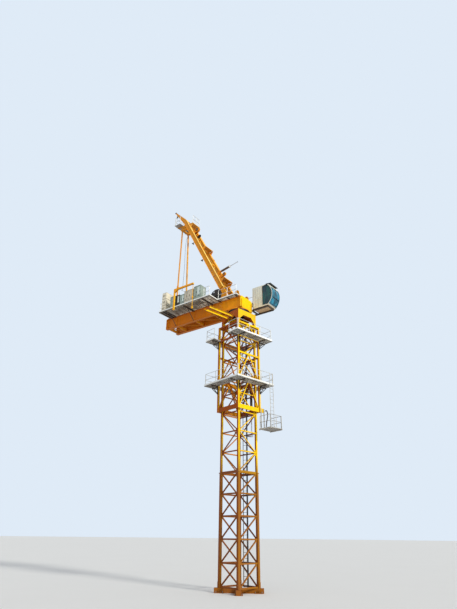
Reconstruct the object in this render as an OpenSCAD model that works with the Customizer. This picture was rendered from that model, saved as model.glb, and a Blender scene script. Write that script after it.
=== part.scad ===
// Luffing tower crane during erection, its jib not yet fitted.
// Origin at the centre of the base frame's underside, +Z up, +X towards the jib side of the upper works.
// The mast, its climbing cage and the base stand turned under the upper works by mast_turn.

/* [Mast] */
// Spacing of the mast posts, centre to centre
mast_w = 2050; // [1900:10:2100]
// Height of one mast panel
panel_h = 1600; // [1500:10:1650]
// Panels of the heavier lower mast
heavy_panels = 5; // [3:1:6]
// Panels of the lighter upper mast
light_panels = 8; // [8:1:9]
// Side of a square post of the lower mast
heavy_post = 200; // [180:10:220]
// Side of a square post of the upper mast
light_post = 160; // [140:10:180]
// Side of a bar of the lower lattice
heavy_bar = 110; // [90:5:120]
// Side of a bar of the upper lattice
light_bar = 90; // [70:5:100]
// Angle by which the mast stands turned under the upper works
mast_turn = 11.5; // [0:0.5:20]

/* [Base] */
// Height of the base frame
base_h = 330; // [280:10:450]
// Length of the base frame over a diagonal
base_l = 3700; // [3600:50:4400]
// Width of a base beam
base_w = 340; // [300:10:360]
// Side of a foot plate
foot_plate = 640; // [620:10:720]
// Diameter of an anchor hole
anchor_d = 48; // [36:2:60]
// Radius of the circle of anchor holes round each post
anchor_r = 340; // [330:5:350]

/* [Slewing support and ring] */
// Height of the support on top of the mast
support_h = 1520; // [1400:10:1700]
// Side of a square post of the support
support_post = 240; // [200:10:280]
// Depth of the support's top beams in their middle
support_beam = 450; // [400:10:520]
// Outer radius of the slewing ring
ring_r = 1000; // [850:10:1050]
// Height of each half of the slewing ring
ring_h = 150; // [120:5:180]
// Thickness of the round table on the ring
table_t = 90; // [60:5:120]
// Reach of the entry beams beyond the mast axis
entry_reach = 3930; // [3500:50:4200]

/* [Climbing cage] */
// Distance between a mast post's centre and the cage post's centre, along a side
cage_clear = 250; // [240:5:300]
// Side of a square cage post
cage_post = 160; // [120:10:170]
// Thickness of the cage's beams
cage_beam = 110; // [90:5:120]
// Height of the cage
cage_h = 8050; // [7800:50:8200]
// Distance of the cage's top above the mast's top
cage_rise = 220; // [150:10:300]
// Height of the lower walkway above the cage's foot
low_walk = 2350; // [2200:50:2500]
// Height of the upper walkway above the cage's foot
high_walk = 6600; // [6400:50:6800]
// Reach of the cage walkways beyond the mast axis
walk_reach = 2200; // [2100:50:2400]
// Diameter of the climbing ram's cylinder
ram_d = 230; // [180:10:260]

/* [Counter-jib] */
// Length of the girders behind the slewing axis
girder_back = 8730; // [8400:10:9200]
// Length of the girders in front of the slewing axis
girder_front = 850; // [750:10:1000]
// Depth of the girders
girder_h = 1160; // [1000:10:1300]
// Spacing of the girder webs
girder_gap = 1600; // [1500:10:1700]
// Width of the girder flanges
flange_w = 300; // [280:10:340]
// Reach of the right walkway from the centre line
right_reach = 2600; // [2400:50:2900]
// Reach of the left walkway from the centre line
left_reach = 1850; // [1700:50:2100]
// Height of the railings
rail_h = 1050; // [900:10:1200]

/* [Machinery and ballast] */
// Radius of the hoist drum's flanges
drum_r = 750; // [600:10:800]
// Length of the hoist drum
drum_w = 1000; // [800:10:1100]
// Radius of the luffing drum's flanges
luff_r = 600; // [500:10:700]
// Length of the luffing drum
luff_w = 1000; // [800:10:1100]
// Length of a ballast block
ballast_l = 580; // [500:10:620]
// Width of a ballast block of the right stack
ballast_w = 1250; // [1000:10:1300]
// Height of a ballast block
ballast_h = 740; // [600:10:800]

/* [A-frame] */
// Distance of the strut's foot pin behind the slewing axis
foot_x = 1200; // [1100:10:1400]
// Height of the strut's foot pin above the deck
foot_z = 1000; // [850:10:1200]
// Height of the apex pin above the deck
apex_z = 11500; // [10500:50:12000]
// Distance of the apex pin behind the slewing axis
apex_x = 7700; // [7400:50:8000]
// Distance of the apex pins from the centre line
apex_y = 520; // [490:10:560]
// Distance of the legs' middles from the centre line, at the height of the apex pins
leg_top_y = 590; // [570:10:640]
// Lean of the strut from the vertical
lean = 27.7; // [26:0.1:28.5]
// Length of the strut legs, from the foot pin to their tips
leg_l = 15450; // [15000:50:15800]
// Height of the low floor in front of the legs, above the deck
low_floor = 2850; // [2600:10:3100]
// Height of the middle floor in front of the legs, above the deck
mid_floor = 7700; // [7400:10:8000]
// Depth of a strut leg
leg_d = 460; // [400:10:520]
// Width of a strut leg
leg_t = 320; // [260:10:340]
// Diameter of the strut's foot pins
foot_pin_d = 140; // [100:5:160]
// Diameter of the pins of the rear ties
tie_pin_d = 90; // [60:5:100]
// Diameter of the bore in a jib foot bracket
jib_bore_d = 120; // [90:5:140]

/* [Cab] */
// Length of the cab
cab_l = 2350; // [2200:10:2500]
// Width of the cab
cab_w = 1300; // [1200:10:1400]
// Height of the cab
cab_h = 2300; // [2200:10:2400]
// Radius of the cab's curved front
cab_r = 1500; // [1350:10:1700]

/* [Hidden] */
$fn = 48;
fit = 0.3;
half = mast_w / 2;
mast_top = base_h + panel_h * (heavy_panels + light_panels);
heavy_top = base_h + panel_h * heavy_panels;
support_top = mast_top + support_h;
ring_split = support_top + ring_h;
ring_gap = 5;
ring_top = ring_split + ring_gap + ring_h;
girder_z = ring_top + table_t;
deck_z = girder_z + girder_h;
grate_t = 60;
floor_z = deck_z + grate_t;

joint_t = 12;
cage_half = half + cage_clear;
cage_top = mast_top + cage_rise;
cage_z = cage_top - cage_h;
low_walk_z = cage_z + low_walk;
high_walk_z = cage_z + high_walk;
beam_h = 360;
cage_out = cage_half + cage_post / 2;
ram_y = cage_half + 260;
ram_l = 1950;
ram_low = low_walk_z + 300 - ram_l;
ram_foot = base_h + panel_h * (heavy_panels + 2) + 60;

web_y = girder_gap / 2;
web_t = 20;
flange_t = 30;
rib_t = 16;
flange_y = web_y + flange_w / 2;
flange_in = web_y - flange_w / 2;
cross_x = [-girder_back + 230, -girder_back + 1400, -girder_back + 3780, -girder_back + 6250];
walk_beam_h = 120;
tie_x = girder_back - 1120;
tie_z = floor_z + 190;
tie_t = 60;
tie_r = 125;
deck_end = foot_x + 500;

rail_d = 44;
foot_y = web_y - 45;
leg_tube = 170;
foot_eye_t = 120;
pin_z = deck_z + foot_z;
apex_top = deck_z + apex_z;
apex_dx = foot_x - apex_x;
apex_s = apex_z * cos(lean) - foot_z * cos(lean) - apex_dx * sin(lean);
apex_v = (apex_z - foot_z) * sin(lean) + apex_dx * cos(lean);
leg_taper = atan((foot_y - leg_top_y) / apex_s);
// Where the legs bend back above the apex pins, to a whole centimetre
knee_s = 10 * round((apex_s + 680) / 10);

drum_x = -girder_back + 6280;
drum_z = floor_z + drum_r + 320;
luff_x = -girder_back + 3980;
luff_z = floor_z + luff_r + 290;
axle_d = 120;

backstop_s = 3340;
backstop_v = leg_d / 2 + 270;
backstop_rise = 11;

cab_x = girder_front;
cab_y = flange_y + 200;
cab_z = girder_z + 520;
cab_wall = 60;

// A box centred on x and y that stands on z = 0
module block(x, y, z) {
    translate([-x / 2, -y / 2, 0]) cube([x, y, z]);
}

// A straight bar of square section between two points
module bar(a, b, t, w = 0) {
    v = b - a;
    l = norm(v);
    translate(a)
        rotate([0, acos(v[2] / l), atan2(v[1], v[0])])
            block(t, w == 0 ? t : w, l);
}

// A round rail of few sides between two points
module rail(a, b, d = rail_d) {
    v = b - a;
    l = norm(v);
    translate(a)
        rotate([0, acos(v[2] / l), atan2(v[1], v[0])])
            cylinder(d = d, h = l, $fn = 6);
}

// A straight run of railing: posts, a top rail and a middle rail
module railing(a, b, count, height = rail_h) {
    up = [0, 0, height];
    for (i = [0 : count]) {
        p = a + (b - a) * i / count;
        rail(p, p + up, rail_d + 8);
    }
    rail(a + up, b + up);
    rail(a + up / 2, b + up / 2);
}

// A round bar along y, centred on the origin
module shaft(d, l) {
    rotate([90, 0, 0]) cylinder(d = d, h = l, center = true);
}

// A flat shape drawn in x and z, of thickness t along y
module upright(t) {
    rotate([90, 0, 0]) linear_extrude(t, center = true) children();
}

// A flat shape drawn in y and z, of thickness t along +x
module crosswise(t) {
    rotate([90, 0, 90]) linear_extrude(t) children();
}

// A plate with a round eye at the origin and a straight root l away along +x
module lug(r, l, root, t, bore = 0) {
    upright(t) difference() {
        union() {
            circle(r);
            polygon([[0, -r], [l, -root / 2], [l, root / 2], [0, r]]);
        }
        if (bore > 0) circle(d = bore);
    }
}

// Two lugs side by side with a pin through both; gap is the clear space between them
module fork(r, l, root, t, gap, pin_d) {
    for (k = [-1, 1]) translate([0, k * (gap + t) / 2, 0]) lug(r, l, root, t);
    shaft(pin_d, gap + 2 * t + 50);
}

// A triangular bracket under a floor, with its upright edge on the y-z plane and its window left open
module knee(reach, drop, t, w) {
    slope = (reach - w) / reach;
    upright(t) difference() {
        polygon([[0, 0], [reach, 0], [0, -drop]]);
        polygon([[w, -w], [reach * slope - w, -w], [w, -drop * slope + w]]);
    }
}

// What stands turned with the mast
module turned() {
    rotate(-mast_turn) children();
}

// Four copies, one at each corner of a square, so that +x and +y of each look outwards
module corners(r) {
    for (x = [0, 1], y = [0, 1])
        mirror([x, 0, 0]) mirror([0, y, 0]) translate([r, r, 0]) children();
}

// The side of the mast that a number stands for, turned from the front
module side(n) {
    rotate(n * 90) children();
}

module base_frame() {
    reach = half * sqrt(2);
    plate_t = 40;
    color("goldenrod") turned() difference() {
        union() {
            for (a = [45, 135]) rotate(a) block(base_l, base_w, base_h);
            for (a = [45 : 90 : 315]) rotate(a) translate([reach, 0, 0]) {
                block(foot_plate, foot_plate, plate_t);
                for (x = [-70, 50], m = [0, 1]) mirror([0, m, 0]) translate([x, 0, 0])
                    crosswise(20) polygon([
                        [base_w / 2 - 1, plate_t - 1], [foot_plate / 2, plate_t - 1],
                        [foot_plate / 2, plate_t + 30], [base_w / 2 - 1, base_h - 30]
                    ]);
            }
            corners(half) for (k = [0, 1]) mirror([k, -k, 0])
                translate([heavy_post / 2 + fit, -heavy_post / 2, base_h - 1]) {
                    cube([30, heavy_post, 381]);
                    for (z = [110, 270]) translate([30, heavy_post / 2, z]) rotate([0, 90, 0])
                        cylinder(d = 70, h = 24);
                }
        }
        for (a = [45 : 90 : 315]) rotate(a) translate([reach, 0, 0])
            for (b = [45 : 90 : 315]) rotate(b) translate([anchor_r, 0, -1])
                cylinder(d = anchor_d, h = plate_t + 2);
    }
}

// A joint between two mast sections: a plate with four pins on each outer face of the post
module post_joint(post, z) {
    plate_w = post - 24;
    for (k = [0, 1]) mirror([k, -k, 0])
        translate([post / 2, 0, z]) {
            translate([-1, -plate_w / 2, -200]) cube([joint_t + 1, plate_w, 400]);
            for (dz = [-140, -60, 60, 140])
                translate([joint_t - 1, plate_w / 2 - 26, dz]) rotate([0, 90, 0]) cylinder(d = 42, h = 9);
        }
}

module mast_posts() {
    cap = 30;
    color("gold") turned() corners(half) {
        translate([0, 0, base_h]) block(heavy_post, heavy_post, heavy_top - base_h);
        translate([0, 0, heavy_top]) block(light_post, light_post, mast_top - heavy_top);
        translate([-light_post / 2, -light_post / 2, heavy_top])
            cube([light_post + 60, light_post + 60, cap]);
        translate([-light_post / 2, -light_post / 2, heavy_top - cap])
            cube([light_post + 60, light_post + 60, cap]);
        for (i = [2 : 2 : light_panels - 1]) post_joint(light_post, heavy_top + i * panel_h);
    }
}

// A small triangular plate in the corner between a post and a level bar; y and z give its direction
module gusset(y, z) {
    size = 230;
    translate([-8, 0, 0]) crosswise(16) polygon([[0, 0], [y * size, 0], [0, z * size]]);
}

// One panelled side: level bars, one slanting bar a panel and gussets at its ends
module lattice(z, count, post, bar_t, alternate, first) {
    span = mast_w - post;
    lift = bar_t / 2;
    translate([half, 0, z]) {
        for (i = [0 : count]) {
            shift = i == 0 ? lift : (i == count ? -lift : 0);
            translate([-lift, -span / 2, i * panel_h - lift + shift]) cube([bar_t, span, bar_t]);
        }
        for (i = [0 : count - 1]) {
            flip = alternate ? (i % 2 == 0 ? first : -first) : first;
            low = i * panel_h + (i == 0 ? bar_t : lift);
            high = (i + 1) * panel_h - (i == count - 1 ? bar_t : lift);
            bar([0, -flip * (span / 2 - lift), low - 1], [0, flip * (span / 2 - lift), high + 1], bar_t * 0.8);
            translate([0, -flip * span / 2, low]) gusset(flip, 1);
            translate([0, flip * span / 2, high]) gusset(-flip, -1);
        }
    }
}

module mast_side(n, first) {
    color("goldenrod") turned() side(n) {
        lattice(base_h, heavy_panels, heavy_post, heavy_bar, false, 1);
        lattice(heavy_top, light_panels, light_post, light_bar, true, first);
    }
}

module mast_front() { mast_side(0, 1); }
module mast_left() { mast_side(1, -1); }
module mast_back() { mast_side(2, 1); }
module mast_right() { mast_side(3, -1); }

// A ladder inside the left side of the mast, held by stubs at every second level bar
module mast_ladder() {
    rung_step = 400;
    ladder_y = half - 330;
    ladder_x = 210;
    stile_t = 30;
    color("dimgray") turned() {
        for (x = [-ladder_x, ladder_x]) {
            translate([x, ladder_y, base_h]) block(50, stile_t, support_top - base_h - 200);
            for (i = [0 : 2 : heavy_panels + light_panels - 1]) {
                bar_t = i <= heavy_panels ? heavy_bar : light_bar;
                translate([x - 25, ladder_y, base_h + i * panel_h])
                    cube([50, half - bar_t / 2 - ladder_y, 30]);
            }
        }
        for (z = [base_h + 300 : rung_step : support_top - 500])
            translate([0, ladder_y, z]) rotate([0, 90, 0])
                cylinder(d = 28, h = 2 * ladder_x, center = true, $fn = 6);
    }
}

module cable_duct() {
    depth = 70;
    color("black") turned()
        translate([0, half - heavy_bar / 2 - depth / 2, base_h]) block(110, depth, mast_top - base_h);
}

module slewing_support() {
    out = half + support_post / 2;
    inner = half - support_post / 2;
    plate_t = 40;
    top = support_h - plate_t;
    haunch = 420;
    hole_r = ring_r - 250;
    color("gold") turned() translate([0, 0, mast_top]) {
        corners(half) block(support_post, support_post, top + 1);
        for (n = [0 : 3]) side(n) {
            translate([inner, 0, 0]) crosswise(support_post) polygon([
                [-inner - 1, top], [inner + 1, top],
                [inner + 1, top - support_beam - haunch], [inner - haunch, top - support_beam],
                [haunch - inner, top - support_beam], [-inner - 1, top - support_beam - haunch]
            ]);
            translate([inner, -inner - 1, 0]) cube([support_post, 2 * inner + 2, 200]);
        }
        translate([0, 0, top]) difference() {
            block(2 * out, 2 * out, plate_t);
            translate([0, 0, -1]) cylinder(r = hole_r, h = plate_t + 2);
        }
        translate([0, 0, top - 260]) difference() {
            cylinder(r = ring_r - 40, h = 261);
            translate([0, 0, -1]) cylinder(r = ring_r - 100, h = 263);
        }
    }
}

// Two rolled beams that reach out over the cage's open side, for bringing new mast sections in
module entry_beams() {
    face = half + support_post / 2;
    z = 870;
    h = 220;
    w = 120;
    gauge = 340;
    color("gold") turned() translate([0, 0, mast_top]) {
        for (x = [-gauge, gauge])
            translate([x, -face, z]) {
                rotate([90, 0, 0]) linear_extrude(entry_reach - face) union() {
                    for (y = [0, h - 16]) translate([-w / 2, y]) square([w, 16]);
                    translate([-6, 0]) square([12, h]);
                }
                translate([-w, -20, -40]) cube([2 * w, 20, 420]);
            }
        translate([-gauge, 60 - entry_reach, z + 20]) cube([2 * gauge, 12, h - 40]);
    }
}

// The fixed half of the slewing ring, toothed on its inner side, with the raised race that the other half runs on
module slewing_ring_lower() {
    teeth = 90;
    inner = ring_r - 210;
    depth = 28;
    mouth = inner * 360 / teeth * PI / 180 * 0.56;
    color("dimgray") translate([0, 0, support_top + fit]) {
        linear_extrude(ring_h - fit) difference() {
            circle(ring_r);
            circle(inner);
            for (i = [0 : teeth - 1]) rotate(i * 360 / teeth) polygon([
                [inner - 3, -mouth / 2], [inner + depth, -mouth / 3],
                [inner + depth, mouth / 3], [inner - 3, mouth / 2]
            ]);
        }
        linear_extrude(ring_h + ring_gap - 2 * fit) difference() {
            circle(ring_r - 60);
            circle(ring_r - 120);
        }
    }
}

// The turning half of the slewing ring, with a waist between its two flanges
module slewing_ring_upper() {
    inner = ring_r - 180;
    color("dimgray") translate([0, 0, ring_split + ring_gap]) rotate_extrude() polygon([
        [inner, 0], [ring_r, 0], [ring_r, ring_h * 0.4], [ring_r - 45, ring_h * 0.4],
        [ring_r - 45, ring_h * 0.65], [ring_r, ring_h * 0.65], [ring_r, ring_h], [inner, ring_h]
    ]);
}

// The ram stands on the left side: its rod is pinned to the mast and its cylinder hangs from the cage
module ram_rod() {
    face = half + light_bar / 2;
    rod_d = ram_d * 0.48;
    color("silver") turned() {
        translate([0, ram_y, ram_foot]) cylinder(d = rod_d, h = ram_low + 250 - ram_foot);
        translate([0, ram_y, ram_foot - 150]) cylinder(d = ram_d, h = 151);
        for (x = [-150, 110]) translate([x, face, 0]) crosswise(40) polygon([
            [0, ram_foot - 80], [0, ram_foot - 20], [ram_y - face, ram_foot],
            [ram_y - face, ram_foot - 150], [60, ram_foot - 150]
        ]);
        translate([-150, ram_y - 40, ram_foot - 150]) cube([300, 80, 150]);
    }
}

module ram_cylinder() {
    face = cage_half + cage_beam / 2;
    bore = ram_d * 0.48 + 2 * fit;
    collar = 150;
    color("dimgray") turned() {
        translate([0, ram_y, ram_low]) difference() {
            union() {
                cylinder(d = ram_d, h = ram_l);
                cylinder(d = ram_d + 40, h = 90);
                translate([0, 0, ram_l - collar]) cylinder(d = ram_d + 50, h = collar);
                translate([-150, face - ram_y, ram_l - collar]) cube([300, ram_y - face, collar]);
            }
            translate([0, 0, -1]) cylinder(d = bore, h = ram_l - 60);
        }
    }
}

module cage_posts() {
    color("gold") turned() corners(cage_half)
        translate([0, 0, cage_z]) block(cage_post, cage_post, cage_h);
}

// One cage side: beams at the walkways and leaning bars that meet in the middle above
module cage_side(open = false, extra = 0) {
    span = cage_w_clear();
    t = cage_beam;
    lean_t = t - 20;
    mid = low_walk_z + 180;
    levels = [low_walk_z + 2600, high_walk_z - 60, cage_top - 160];
    translate([cage_half, 0, 0]) {
        translate([-t / 2, -span / 2, cage_z]) cube([t, span, beam_h]);
        if (extra > 0)
            translate([cage_post / 2, span / 2 - 40, cage_z]) cube([t - 40, extra, beam_h]);
        translate([-t / 2, -span / 2, mid]) cube([t, span, beam_h]);
        for (z = levels) if (!open || z > low_walk_z + 3000)
            translate([-t / 2, -span / 2, z]) cube([t, span, 160]);
        for (m = [-1, 1]) {
            bar([0, m * (span / 2 - 70), cage_z + beam_h - 40], [0, m * 40, mid + 40], lean_t);
            if (!open)
                bar([0, m * (span / 2 - 70), mid + beam_h - 40], [0, m * 40, levels[0] + 40], lean_t);
            bar([0, m * (span / 2 - 70), levels[1] + 120], [0, m * 40, levels[2] + 40], lean_t);
        }
        for (z = [mid, levels[2]]) translate([-8, 0, z]) crosswise(16)
            polygon([[-260, 0], [260, 0], [110, -190], [-110, -190]]);
    }
}

// Clear width of a cage side between its posts
function cage_w_clear() = 2 * cage_half - cage_post;

module cage_front() { color("gold") turned() side(0) cage_side(extra = 440); }
module cage_left() { color("goldenrod") turned() side(1) cage_side(); }
module cage_back() { color("goldenrod") turned() side(2) cage_side(); }
module cage_right() { color("goldenrod") turned() side(3) cage_side(open = true); }

// Guide rollers between their cheeks, two on each side of the cage at two levels
module cage_rollers() {
    face = half + light_post / 2 + joint_t + 8;
    back = cage_half - cage_beam / 2;
    r = (back - 5 - face) / 2;
    roller_w = 50;
    color("dimgray") turned()
        for (z = [cage_z + beam_h / 2, high_walk_z + 20], n = [0 : 3], m = [-1, 1])
            side(n) translate([face + r, m * (half - 25), z]) {
                shaft(2 * r, roller_w);
                shaft(26, roller_w + 36);
                for (k = [-1, 1]) translate([0, k * (roller_w / 2 + 10), 0])
                    lug(r * 0.7, back - face - r, 110, 14);
            }
}

// A square ring walkway round the cage, open in the middle of the right side where open is set
module ring_walk(z, open) {
    t = 60;
    inner = cage_out + fit;
    reach = walk_reach - inner - 30;
    kerb = 120;
    color("lightgray") turned() translate([0, 0, z]) difference() {
        union() {
            block(2 * walk_reach, 2 * walk_reach, grate_t);
            difference() {
                block(2 * walk_reach, 2 * walk_reach, grate_t + kerb);
                translate([0, 0, -1]) block(2 * walk_reach - 16, 2 * walk_reach - 16, grate_t + kerb + 2);
            }
        }
        translate([0, 0, -1]) block(2 * inner, 2 * inner, grate_t + kerb + 2);
        if (open) translate([0, -inner - 500, -1]) block(1900, 1300, grate_t + kerb + 2);
        translate([0, ram_y, -1]) block(400, 400, grate_t + 2);
    }
    color("dimgray") turned()
        for (n = [0 : 3], m = [-1, 1])
            side(n) translate([cage_out, m * cage_half, z]) knee(reach, 760, t, 80);
}

module cage_walkways() {
    ring_walk(high_walk_z, true);
    ring_walk(low_walk_z, false);
}

module cage_rails() {
    r = walk_reach - 50;
    corner = r - 60;
    color("gainsboro") turned()
        for (z = [high_walk_z + grate_t, low_walk_z + grate_t], n = [0 : 3])
            side(n) {
                if (n == 3 && z > low_walk_z + 1000) {
                    railing([r, -corner, z], [r, -1000, z], 1);
                    railing([r, 1000, z], [r, corner, z], 1);
                } else railing([r, -corner, z], [r, corner, z], 3);
            }
}

// A small platform that hangs under the cage's front left corner, with a ladder up to the lower walkway
module landing_platform() {
    x0 = cage_half + cage_post / 2 + cage_beam - 40;
    y0 = 1000;
    l = 1400;
    w = 1400;
    drop = 1500;
    z = cage_z - drop;
    ladder_x = walk_reach + 30;
    ladder_y = [1650, 2050];
    hang_y = [cage_half - 40, cage_half + 320];
    color("lightgray") turned() {
        translate([x0, y0, z]) {
            cube([l, w, grate_t]);
            for (y = [0, w - 50]) translate([0, y, -60]) cube([l, 50, 61]);
            translate([0, 0, grate_t]) {
                railing([l - 40, 40, 0], [l - 40, w - 40, 0], 2);
                railing([120, 40, 0], [l - 100, 40, 0], 1);
                railing([120, w - 40, 0], [l - 100, w - 40, 0], 1);
            }
        }
        for (y = hang_y) translate([x0, y, z]) cube([60, 60, drop + beam_h - 40]);
        for (y = ladder_y)
            rail([ladder_x, y, z + 50], [ladder_x, y, low_walk_z + grate_t + rail_h], 50);
        for (i = [1 : 12])
            rail([ladder_x, ladder_y[0], z + i * 320], [ladder_x, ladder_y[1], z + i * 320], 30);
        translate([walk_reach, ladder_y[0] - 25, low_walk_z])
            cube([45, ladder_y[1] - ladder_y[0] + 50, grate_t]);
    }
}

// The welded frame between the girders: round table, floor, end walls and the tub round the ring
module turntable() {
    x0 = -1150;
    l = girder_front - x0;
    wall_t = 30;
    hole_r = ring_r - 420;
    tub_r = web_y - web_t / 2 - 12;
    w = girder_gap - web_t;
    color("darkorange") {
        translate([0, 0, ring_top]) difference() {
            cylinder(r = ring_r + 40, h = table_t);
            translate([0, 0, -1]) cylinder(r = hole_r, h = table_t + 2);
        }
        translate([x0, -flange_in, girder_z - 1]) difference() {
            cube([l, 2 * flange_in, flange_t + 1]);
            translate([-x0, flange_in, -1]) cylinder(r = hole_r, h = flange_t + 3);
        }
        for (x = [x0, girder_front - wall_t]) {
            translate([x, -w / 2, girder_z + flange_t]) cube([wall_t, w, girder_h - 2 * flange_t]);
            translate([x, -flange_in, girder_z + flange_t - 1]) cube([wall_t, 2 * flange_in, girder_h - flange_t + 1]);
        }
        translate([0, 0, girder_z + flange_t]) difference() {
            union() {
                cylinder(r = tub_r, h = 620);
                translate([0, 0, -1]) cylinder(r = flange_in - 2, h = 2);
            }
            translate([0, 0, -2]) cylinder(r = hole_r, h = 624);
        }
    }
}

// The upright plate at the girders' front, with round upper corners and a stiffening rim
module front_plate() {
    w = 2 * flange_y + 100;
    h = girder_h + 60;
    r = 350;
    color("gold") translate([girder_front, 0, girder_z]) {
        crosswise(30) union() {
            translate([-w / 2, 0]) square([w, h - r]);
            translate([-w / 2 + r, 0]) square([w - 2 * r, h]);
            for (m = [-1, 1]) translate([m * (w / 2 - r), h - r]) circle(r);
        }
        for (y = [-web_y, web_y]) translate([0, y - 10, 0]) cube([90, 20, h - r]);
    }
}

// One plate girder; out is the side that its outer face looks to
module girder(out) {
    l = girder_back + girder_front;
    joint_x = -1650;
    rib = flange_w / 2 - 20;
    inner_low = 300;
    translate([-girder_back, out * web_y, girder_z]) {
        translate([0, -web_t / 2, 0]) cube([l, web_t, girder_h]);
        for (z = [0, girder_h - flange_t])
            translate([0, -flange_w / 2, z]) cube([l, flange_w, flange_t]);
        translate([0, -flange_w / 2, 0]) cube([20, flange_w, girder_h]);
    }
    for (x = cross_x) {
        translate([x - rib_t / 2, out > 0 ? web_y : -web_y - rib, girder_z]) cube([rib_t, rib, girder_h]);
        translate([x - rib_t / 2, out > 0 ? web_y - rib : -web_y, girder_z + inner_low])
            cube([rib_t, rib, girder_h - inner_low]);
    }
    translate([joint_x - 300, out * web_y + (out > 0 ? 0 : -web_t / 2 - 18), girder_z + 120])
        cube([600, web_t / 2 + 18, girder_h - 240]);
    for (x = [-200, -80, 80, 200], z = [240, girder_h / 2, girder_h - 240])
        translate([joint_x + x, out * (web_y + web_t / 2 + 28), girder_z + z]) shaft(60, 24);
    translate([-tie_x, out * web_y, tie_z]) rotate([0, 90, 0])
        fork(tie_r, tie_z - deck_z, 360, 30, tie_t + 2 * fit, tie_pin_d);
}

module right_girder() { color("darkorange") girder(-1); }
module left_girder() { color("darkorange") girder(1); }

// A slanting prop with level ends, drawn in y and z between two seats
module prop(y0, z0, y1, z1, w, t) {
    translate([-t / 2, 0, 0]) crosswise(t) polygon([
        [y0 - w / 2, z0], [y0 + w / 2, z0], [y1 + w / 2, z1], [y1 - w / 2, z1]
    ]);
}

module cross_beams() {
    w = girder_gap - web_t;
    brace_t = 80;
    brace_z = girder_z + 160;
    foot = web_y - 90;
    strip_y = 1350;
    prop_t = 40;
    color("orange") {
        for (x = cross_x)
            translate([x - 60, -w / 2, girder_z + flange_t]) cube([120, w, 260]);
        for (i = [0 : 2])
            bar([cross_x[i] + 60, -foot, brace_z], [cross_x[i + 1] - 60, foot, brace_z], brace_t);
    }
    color("dimgray") {
        for (i = [1 : 3]) translate([cross_x[i], 0, 0]) {
            translate([-50, -right_reach, deck_z - walk_beam_h])
                cube([100, right_reach - flange_y, walk_beam_h]);
            translate([-50, flange_y, deck_z - walk_beam_h])
                cube([100, left_reach - flange_y, walk_beam_h]);
            translate([(rib_t + prop_t) / 2, 0, 0]) {
                prop(-flange_y + 45, girder_z + flange_t, -right_reach + 650, deck_z - walk_beam_h, 60, prop_t);
                prop(flange_y - 45, girder_z + flange_t, left_reach - 250, deck_z - walk_beam_h, 60, prop_t);
            }
        }
        for (x = [-girder_back + 780, -girder_back + 1080]) {
            translate([x - 50, -right_reach + 60, deck_z - walk_beam_h])
                cube([100, right_reach - 60 - flange_y, walk_beam_h]);
            translate([x - 50, flange_y, deck_z - walk_beam_h])
                cube([100, left_reach - 60 - flange_y, walk_beam_h]);
        }
        for (x = [-1500, -400, 500]) {
            translate([x - 40, -strip_y + 20, deck_z - 100]) cube([80, strip_y - 20 - flange_y, 100]);
            translate([x - 40, flange_y, deck_z - 100]) cube([80, left_reach - 40 - flange_y, 100]);
        }
    }
}

// A grating panel with a kerb along the sides that kerbs names: 0 right, 1 rear, 2 left, 3 front
module grating(x0, x1, y0, y1, kerbs) {
    t = 8;
    h = grate_t + 110;
    translate([x0, y0, deck_z]) cube([x1 - x0, y1 - y0, grate_t]);
    for (k = kerbs) {
        if (k == 0) translate([x0, y0, deck_z]) cube([x1 - x0, t, h]);
        if (k == 1) translate([x0, y0, deck_z]) cube([t, y1 - y0, h]);
        if (k == 2) translate([x0, y1 - t, deck_z]) cube([x1 - x0, t, h]);
        if (k == 3) translate([x1 - t, y0, deck_z]) cube([t, y1 - y0, h]);
    }
}

module deck() {
    rear = -girder_back + 180;
    right_rear = -girder_back + 480;
    strip_y = 1350;
    slot = [420, 230];
    color("lightgray") {
        difference() {
            union() {
                translate([rear, -flange_y, deck_z]) cube([-deck_end - rear, 2 * flange_y, grate_t]);
                translate([-deck_end - 1, -flange_in + 10, deck_z])
                    cube([deck_end + girder_front + 1, 2 * flange_in - 20, grate_t]);
            }
            for (m = [-1, 1]) translate([-tie_x, m * web_y, deck_z - 1])
                block(slot[0], slot[1], grate_t + 2);
        }
        grating(right_rear, -1600, -right_reach, -flange_y, [0, 1, 3]);
        grating(-1600, 650, -strip_y, -flange_y, [0, 3]);
        grating(rear, 750, flange_y, left_reach, [1, 2, 3]);
    }
}

module deck_rails() {
    z = floor_z;
    rear = -girder_back + 240;
    right_rear = -girder_back + 540;
    color("gainsboro") {
        railing([-2350, -right_reach + 50, z], [-1660, -right_reach + 50, z], 1);
        railing([-1540, -1300, z], [590, -1300, z], 2);
        railing([rear + 60, left_reach - 50, z], [690, left_reach - 50, z], 7);
        railing([right_rear, -right_reach + 60, z], [right_rear, -flange_y - 60, z], 1);
        railing([rear, -flange_y + 60, z], [rear, left_reach - 60, z], 2);
    }
}

// A cast block with a stepped edge all round
module slab(l, w, h) {
    step = 14;
    translate([0, 0, step]) block(l, w, h - 2 * step);
    block(l - 2 * step, w - 2 * step, h);
}

module counterweights() {
    x = -girder_back + 650 + ballast_l / 2;
    left_in = web_y + 140;
    left_w = left_reach - 90 - left_in;
    color("cornsilk")
        for (i = [0 : 2]) translate([x, 0, floor_z + i * ballast_h]) {
            translate([0, -right_reach + 130 + ballast_w / 2, 0]) slab(ballast_l, ballast_w, ballast_h);
            translate([0, left_in + left_w / 2, 0]) slab(ballast_l, left_w, ballast_h);
        }
    color("dimgray")
        for (y = [-right_reach + 130 + ballast_w / 2, left_in + left_w / 2], m = [-1, 1])
            translate([x, y + m * left_w / 4, floor_z + 3 * ballast_h + 45]) rotate([0, 90, 90])
                lug(50, 45, 130, 24, 46);
}

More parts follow.
